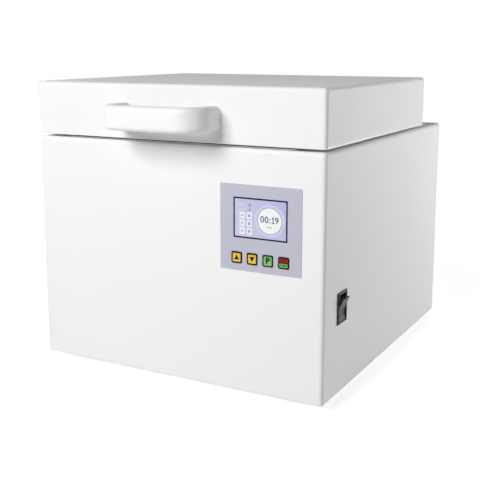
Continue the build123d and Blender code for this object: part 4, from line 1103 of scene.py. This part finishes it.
# half of the section from the groove to the foot, as shares of the seal's width and height
GROOVE_TO_BULB = ((0, 0.09), (0.05, 0.02), (0.14, 0), (0.24, 0.05), (0.33, 0.2))
BULB_TO_FOOT = ((0.37, 0.45), (0.38, 0.66), (0.5, 0.74), (0.5, 1))

seal_low, seal_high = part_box("lid_seal")
seal_middle, seal_size = (seal_low + seal_high) / 2, seal_high - seal_low
side_points = [v.co for v in nodes["lid_seal"].data.vertices if v.co.x > seal_high.x - 0.01 * MM]
seal_corner = seal_high.y - max(point.y for point in side_points) - SEAL_WIDTH / 2
seal_section = [(u * SEAL_WIDTH, w * seal_size.z) for u, w in GROOVE_TO_BULB + BULB_TO_FOOT]
seal_section += [(-u, w) for u, w in seal_section[:0:-1]]
seal_path = rounded(seal_size.x - SEAL_WIDTH, seal_size.y - SEAL_WIDTH, seal_corner, 10)
seal_seat = Matrix.Translation((seal_middle.x, seal_middle.y, seal_low.z))
seal_mesh = smooth(carried_round(seal_path, seal_section), 50)
seal = finish_piece(seal_mesh, "lid_seal_bulb", "lid_seal", seal_seat)
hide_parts("lid_seal")
print(f"seal corner radius {seal_corner / MM:.1f} mm, height {seal_size.z / MM:.1f} mm")

# %% [markdown]
# ## Screws
#
# Identical screws are one part with several solids, so the box of each solid is found first: the
# script merges the points that lie on each other and follows the edges from point to point.
#
# A screw has a domed or a flush head, turned on the lathe, and a slot that a cross-shaped cutter
# takes out by a Boolean modifier. Each group has one master, and its copies stand where the solid
# screws stand and have the same size.


# %% Solids of a part
def solids_of(node):
    """The box of each separate solid of a part, as (lowest corner, highest corner)."""
    form = bmesh.new()
    form.from_mesh(nodes[node].data)
    bmesh.ops.remove_doubles(form, verts=form.verts, dist=1e-6)
    waiting, boxes = set(form.verts), []
    while waiting:
        group, found = set(), {waiting.pop()}
        while found:
            group |= found
            found = {link.other_vert(v) for v in found for link in v.link_edges} & waiting
            waiting -= found
        axes = [[v.co[k] for v in group] for k in range(3)]
        boxes.append((Vector(map(min, axes)), Vector(map(max, axes))))
    form.free()
    return sorted(boxes, key=lambda box: tuple(round(c, 4) for c in box[0]))


print("rear panel screws:", len(solids_of("rear_screws")))


# %% Screw maker
# shares of the head's radius and height
SLOT_WIDTH, SLOT_REACH, SLOT_DEPTH, SLOT_TAPER = 0.34, 0.62, 0.6, 0.45
# shares of the shank's radius, and of a flush head's height
SHANK_END, SHANK_CHAMFER, FLUSH_RIM = 0.8, 0.3, 0.05


def cross_cutter(width, reach, depth):
    """A cross that tapers downwards, for the slot of a screw."""
    form = bmesh.new()
    half = width / 2
    outline = []
    for k in range(4):
        turn = radians(90) * k
        for x, y in ((reach, -half), (reach, half), (half, half)):
            outline.append((x * cos(turn) - y * sin(turn), x * sin(turn) + y * cos(turn)))
    top = [form.verts.new((x, y, depth)) for x, y in outline]
    low = [form.verts.new((SLOT_TAPER * x, SLOT_TAPER * y, -depth)) for x, y in outline]
    form.faces.new(top)
    form.faces.new(low[::-1])
    for k in range(len(outline)):
        n = (k + 1) % len(outline)
        form.faces.new((top[k], low[k], low[n], top[n]))
    bmesh.ops.recalc_face_normals(form, faces=form.faces)
    return mesh_of(form, "cutter")


def cut(mesh, cutter):
    """The mesh with the cutter's form taken away."""
    body, tool = put_in_scene("body", mesh), put_in_scene("tool", cutter)
    boolean = body.modifiers.new("slot", "BOOLEAN")
    boolean.operation = "DIFFERENCE"
    boolean.solver = "EXACT"
    boolean.object = tool
    result = settled_mesh(body)
    bpy.data.objects.remove(tool)
    return result


# the dome of a pan head, as shares of the head's radius and height
PAN_DOME = ((1, 0), (1, 0.45), (0.93, 0.7), (0.75, 0.9), (0.45, 1), (0, 1))


def screw_form(radius, head, shank, length, flush):
    """A screw along +Z: its head's seat is at 0, the head rises and the shank goes down."""
    profile = [(0, -length), (SHANK_END * shank, -length), (shank, -length + SHANK_CHAMFER * shank)]
    if flush:
        profile += [(shank, -head), (radius, -FLUSH_RIM * head), (radius, 0), (0, 0)]
    else:
        profile += [(shank, 0)] + [(r * radius, h * head) for r, h in PAN_DOME]
    cutter = cross_cutter(SLOT_WIDTH * radius, SLOT_REACH * radius, SLOT_DEPTH * head)
    cutter.transform(Matrix.Translation((0, 0, 0 if flush else head)))
    return smooth(cut(turned(profile, 28), cutter), 40)


# %% Dress the screws
PAN_HEAD, LEAF_HEAD = 1.8 * MM, 1.5 * MM
PAN_SHANK, FLUSH_SHANK = 1.5 / 2.8, 0.5  # shares of the head's radius
HEAD_TWIST = 37  # degrees from one screw to the next, as a hand leaves them
AXIS_TURNS = {"+Y": spun(-90, "X"), "-Z": spun(180, "X"), "+Z": STILL}


def dress_screws(node, facing, head, flush=False):
    """Replaces a group of screws. Facing is the way their heads look, head is its height."""
    turn = AXIS_TURNS[facing]
    axis = 1 if "Y" in facing else 2
    forward = (turn @ Vector((0, 0, 1)))[axis]
    proud = 0 if flush else head
    boxes = solids_of(node)
    size = boxes[0][1] - boxes[0][0]
    radius = size.x / 2
    shank = radius * (FLUSH_SHANK if flush else PAN_SHANK)
    form = screw_form(radius, head, shank, size[axis] - proud, flush)
    places = []
    for n, (low, high) in enumerate(boxes):
        seat = (low + high) / 2
        seat[axis] = (high[axis] if forward > 0 else low[axis]) - forward * proud
        twist = spun(HEAD_TWIST * n % 90, "Z")
        places.append((form, Matrix.Translation(seat) @ turn @ twist))
    piece = finish_piece(join_meshes(places), f"{node}_cross", node)
    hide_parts(node)
    return len(boxes)


for group in (
    ("rear_screws", "+Y", PAN_HEAD),
    ("fan_screws", "+Y", PAN_HEAD),
    ("base_screws", "-Z", PAN_HEAD),
    ("foot_screws", "-Z", PAN_HEAD),
    ("handle_screws", "+Y", PAN_HEAD),
    ("hinge_base_screws", "+Z", LEAF_HEAD, True),
    ("hinge_lid_screws", "+Y", LEAF_HEAD, True),
):
    print(group[0], dress_screws(*group))

# %% [markdown]
# ## Fan rotors
#
# A fan's blades are thin and twisted: steep at the hub, flatter at the tip, and curved across. Each
# is a small grid of points that is given a thickness. The hub is turned, with a shallow dish.

# %% Blades
BLADES = 7
HUB_RADIUS, BLADE_TIP = 17 * MM, 36.5 * MM
BLADE_ROOT = HUB_RADIUS - 1.0 * MM
BLADE_THICKNESS = 1.3 * MM
SPANS, CHORDS = 10, 12
ROOT_SWEEP, TIP_SWEEP, TIP_LAG = 52, 42, 10  # degrees round the hub
BLADE_RISE, CAMBER, CAMBER_RISE = 0.84, 0.16, 0.35  # shares of the hub's depth


def blade_form(depth):
    """One twisted blade, its root at the hub, along X. The fan's axis is Z."""
    form = bmesh.new()
    grid = []
    for i in range(SPANS + 1):
        share = i / SPANS
        radius = BLADE_ROOT + share * (BLADE_TIP - BLADE_ROOT)
        sweep = radians(ROOT_SWEEP - (ROOT_SWEEP - TIP_SWEEP) * share)
        row = []
        for j in range(CHORDS + 1):
            across = j / CHORDS - 0.5
            camber = CAMBER * (1 - 4 * across * across)
            angle = sweep * across + radians(TIP_LAG) * share
            height = depth * (BLADE_RISE * across + camber * CAMBER_RISE)
            row.append(form.verts.new((radius * cos(angle), radius * sin(angle), height)))
        grid.append(row)
    for near, far in zip(grid, grid[1:]):
        for j in range(CHORDS):
            form.faces.new((near[j], far[j], far[j + 1], near[j + 1]))
    holder = put_in_scene("sheet", mesh_of(form, "blade"))
    wall = holder.modifiers.new("wall", "SOLIDIFY")
    wall.thickness = BLADE_THICKNESS
    wall.offset = 0.0
    return settled_mesh(holder)


# %% Rotors
HUB_DEPTH = 18 * MM
SHAFT_RADIUS = 1.5 * MM
# the hub with its dish, as shares of the hub's radius and depth
HUB_BACK = ((0, -0.5), (1, -0.5), (1, 0.34), (0.96, 0.44), (0.86, 0.5))
HUB_DISH = ((0.72, 0.5), (0.68, 0.46), (0.12, 0.46), (0, 0.49))

hub = turned([(r * HUB_RADIUS, h * HUB_DEPTH) for r, h in HUB_BACK + HUB_DISH], 48)
blade = blade_form(HUB_DEPTH)
for side in ("left", "right"):
    node = f"fan_rotor_{side}"
    low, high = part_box(node)
    pivot = Vector(joint_of[f"fan_{side}_spin"]["pos_m"])
    shaft_end = low.y - high.y + HUB_DEPTH / 2
    shaft = turned([(0, shaft_end), (SHAFT_RADIUS, shaft_end), (SHAFT_RADIUS, 0), (0, 0)], 20)
    forms = [(hub, STILL), (shaft, STILL)]
    forms += [(blade, Matrix.Rotation(tau * k / BLADES, 4, "Z")) for k in range(BLADES)]
    seat = Matrix.Translation((pivot.x, high.y - HUB_DEPTH / 2, pivot.z)) @ AXIS_TURNS["+Y"]
    rotor = smooth(join_meshes(forms))
    piece = finish_piece(rotor, f"{node}_blades", node, seat)
    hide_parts(node)
    print(node, f"hub {2 * HUB_RADIUS / MM:.0f} mm, depth {HUB_DEPTH / MM:.0f} mm")
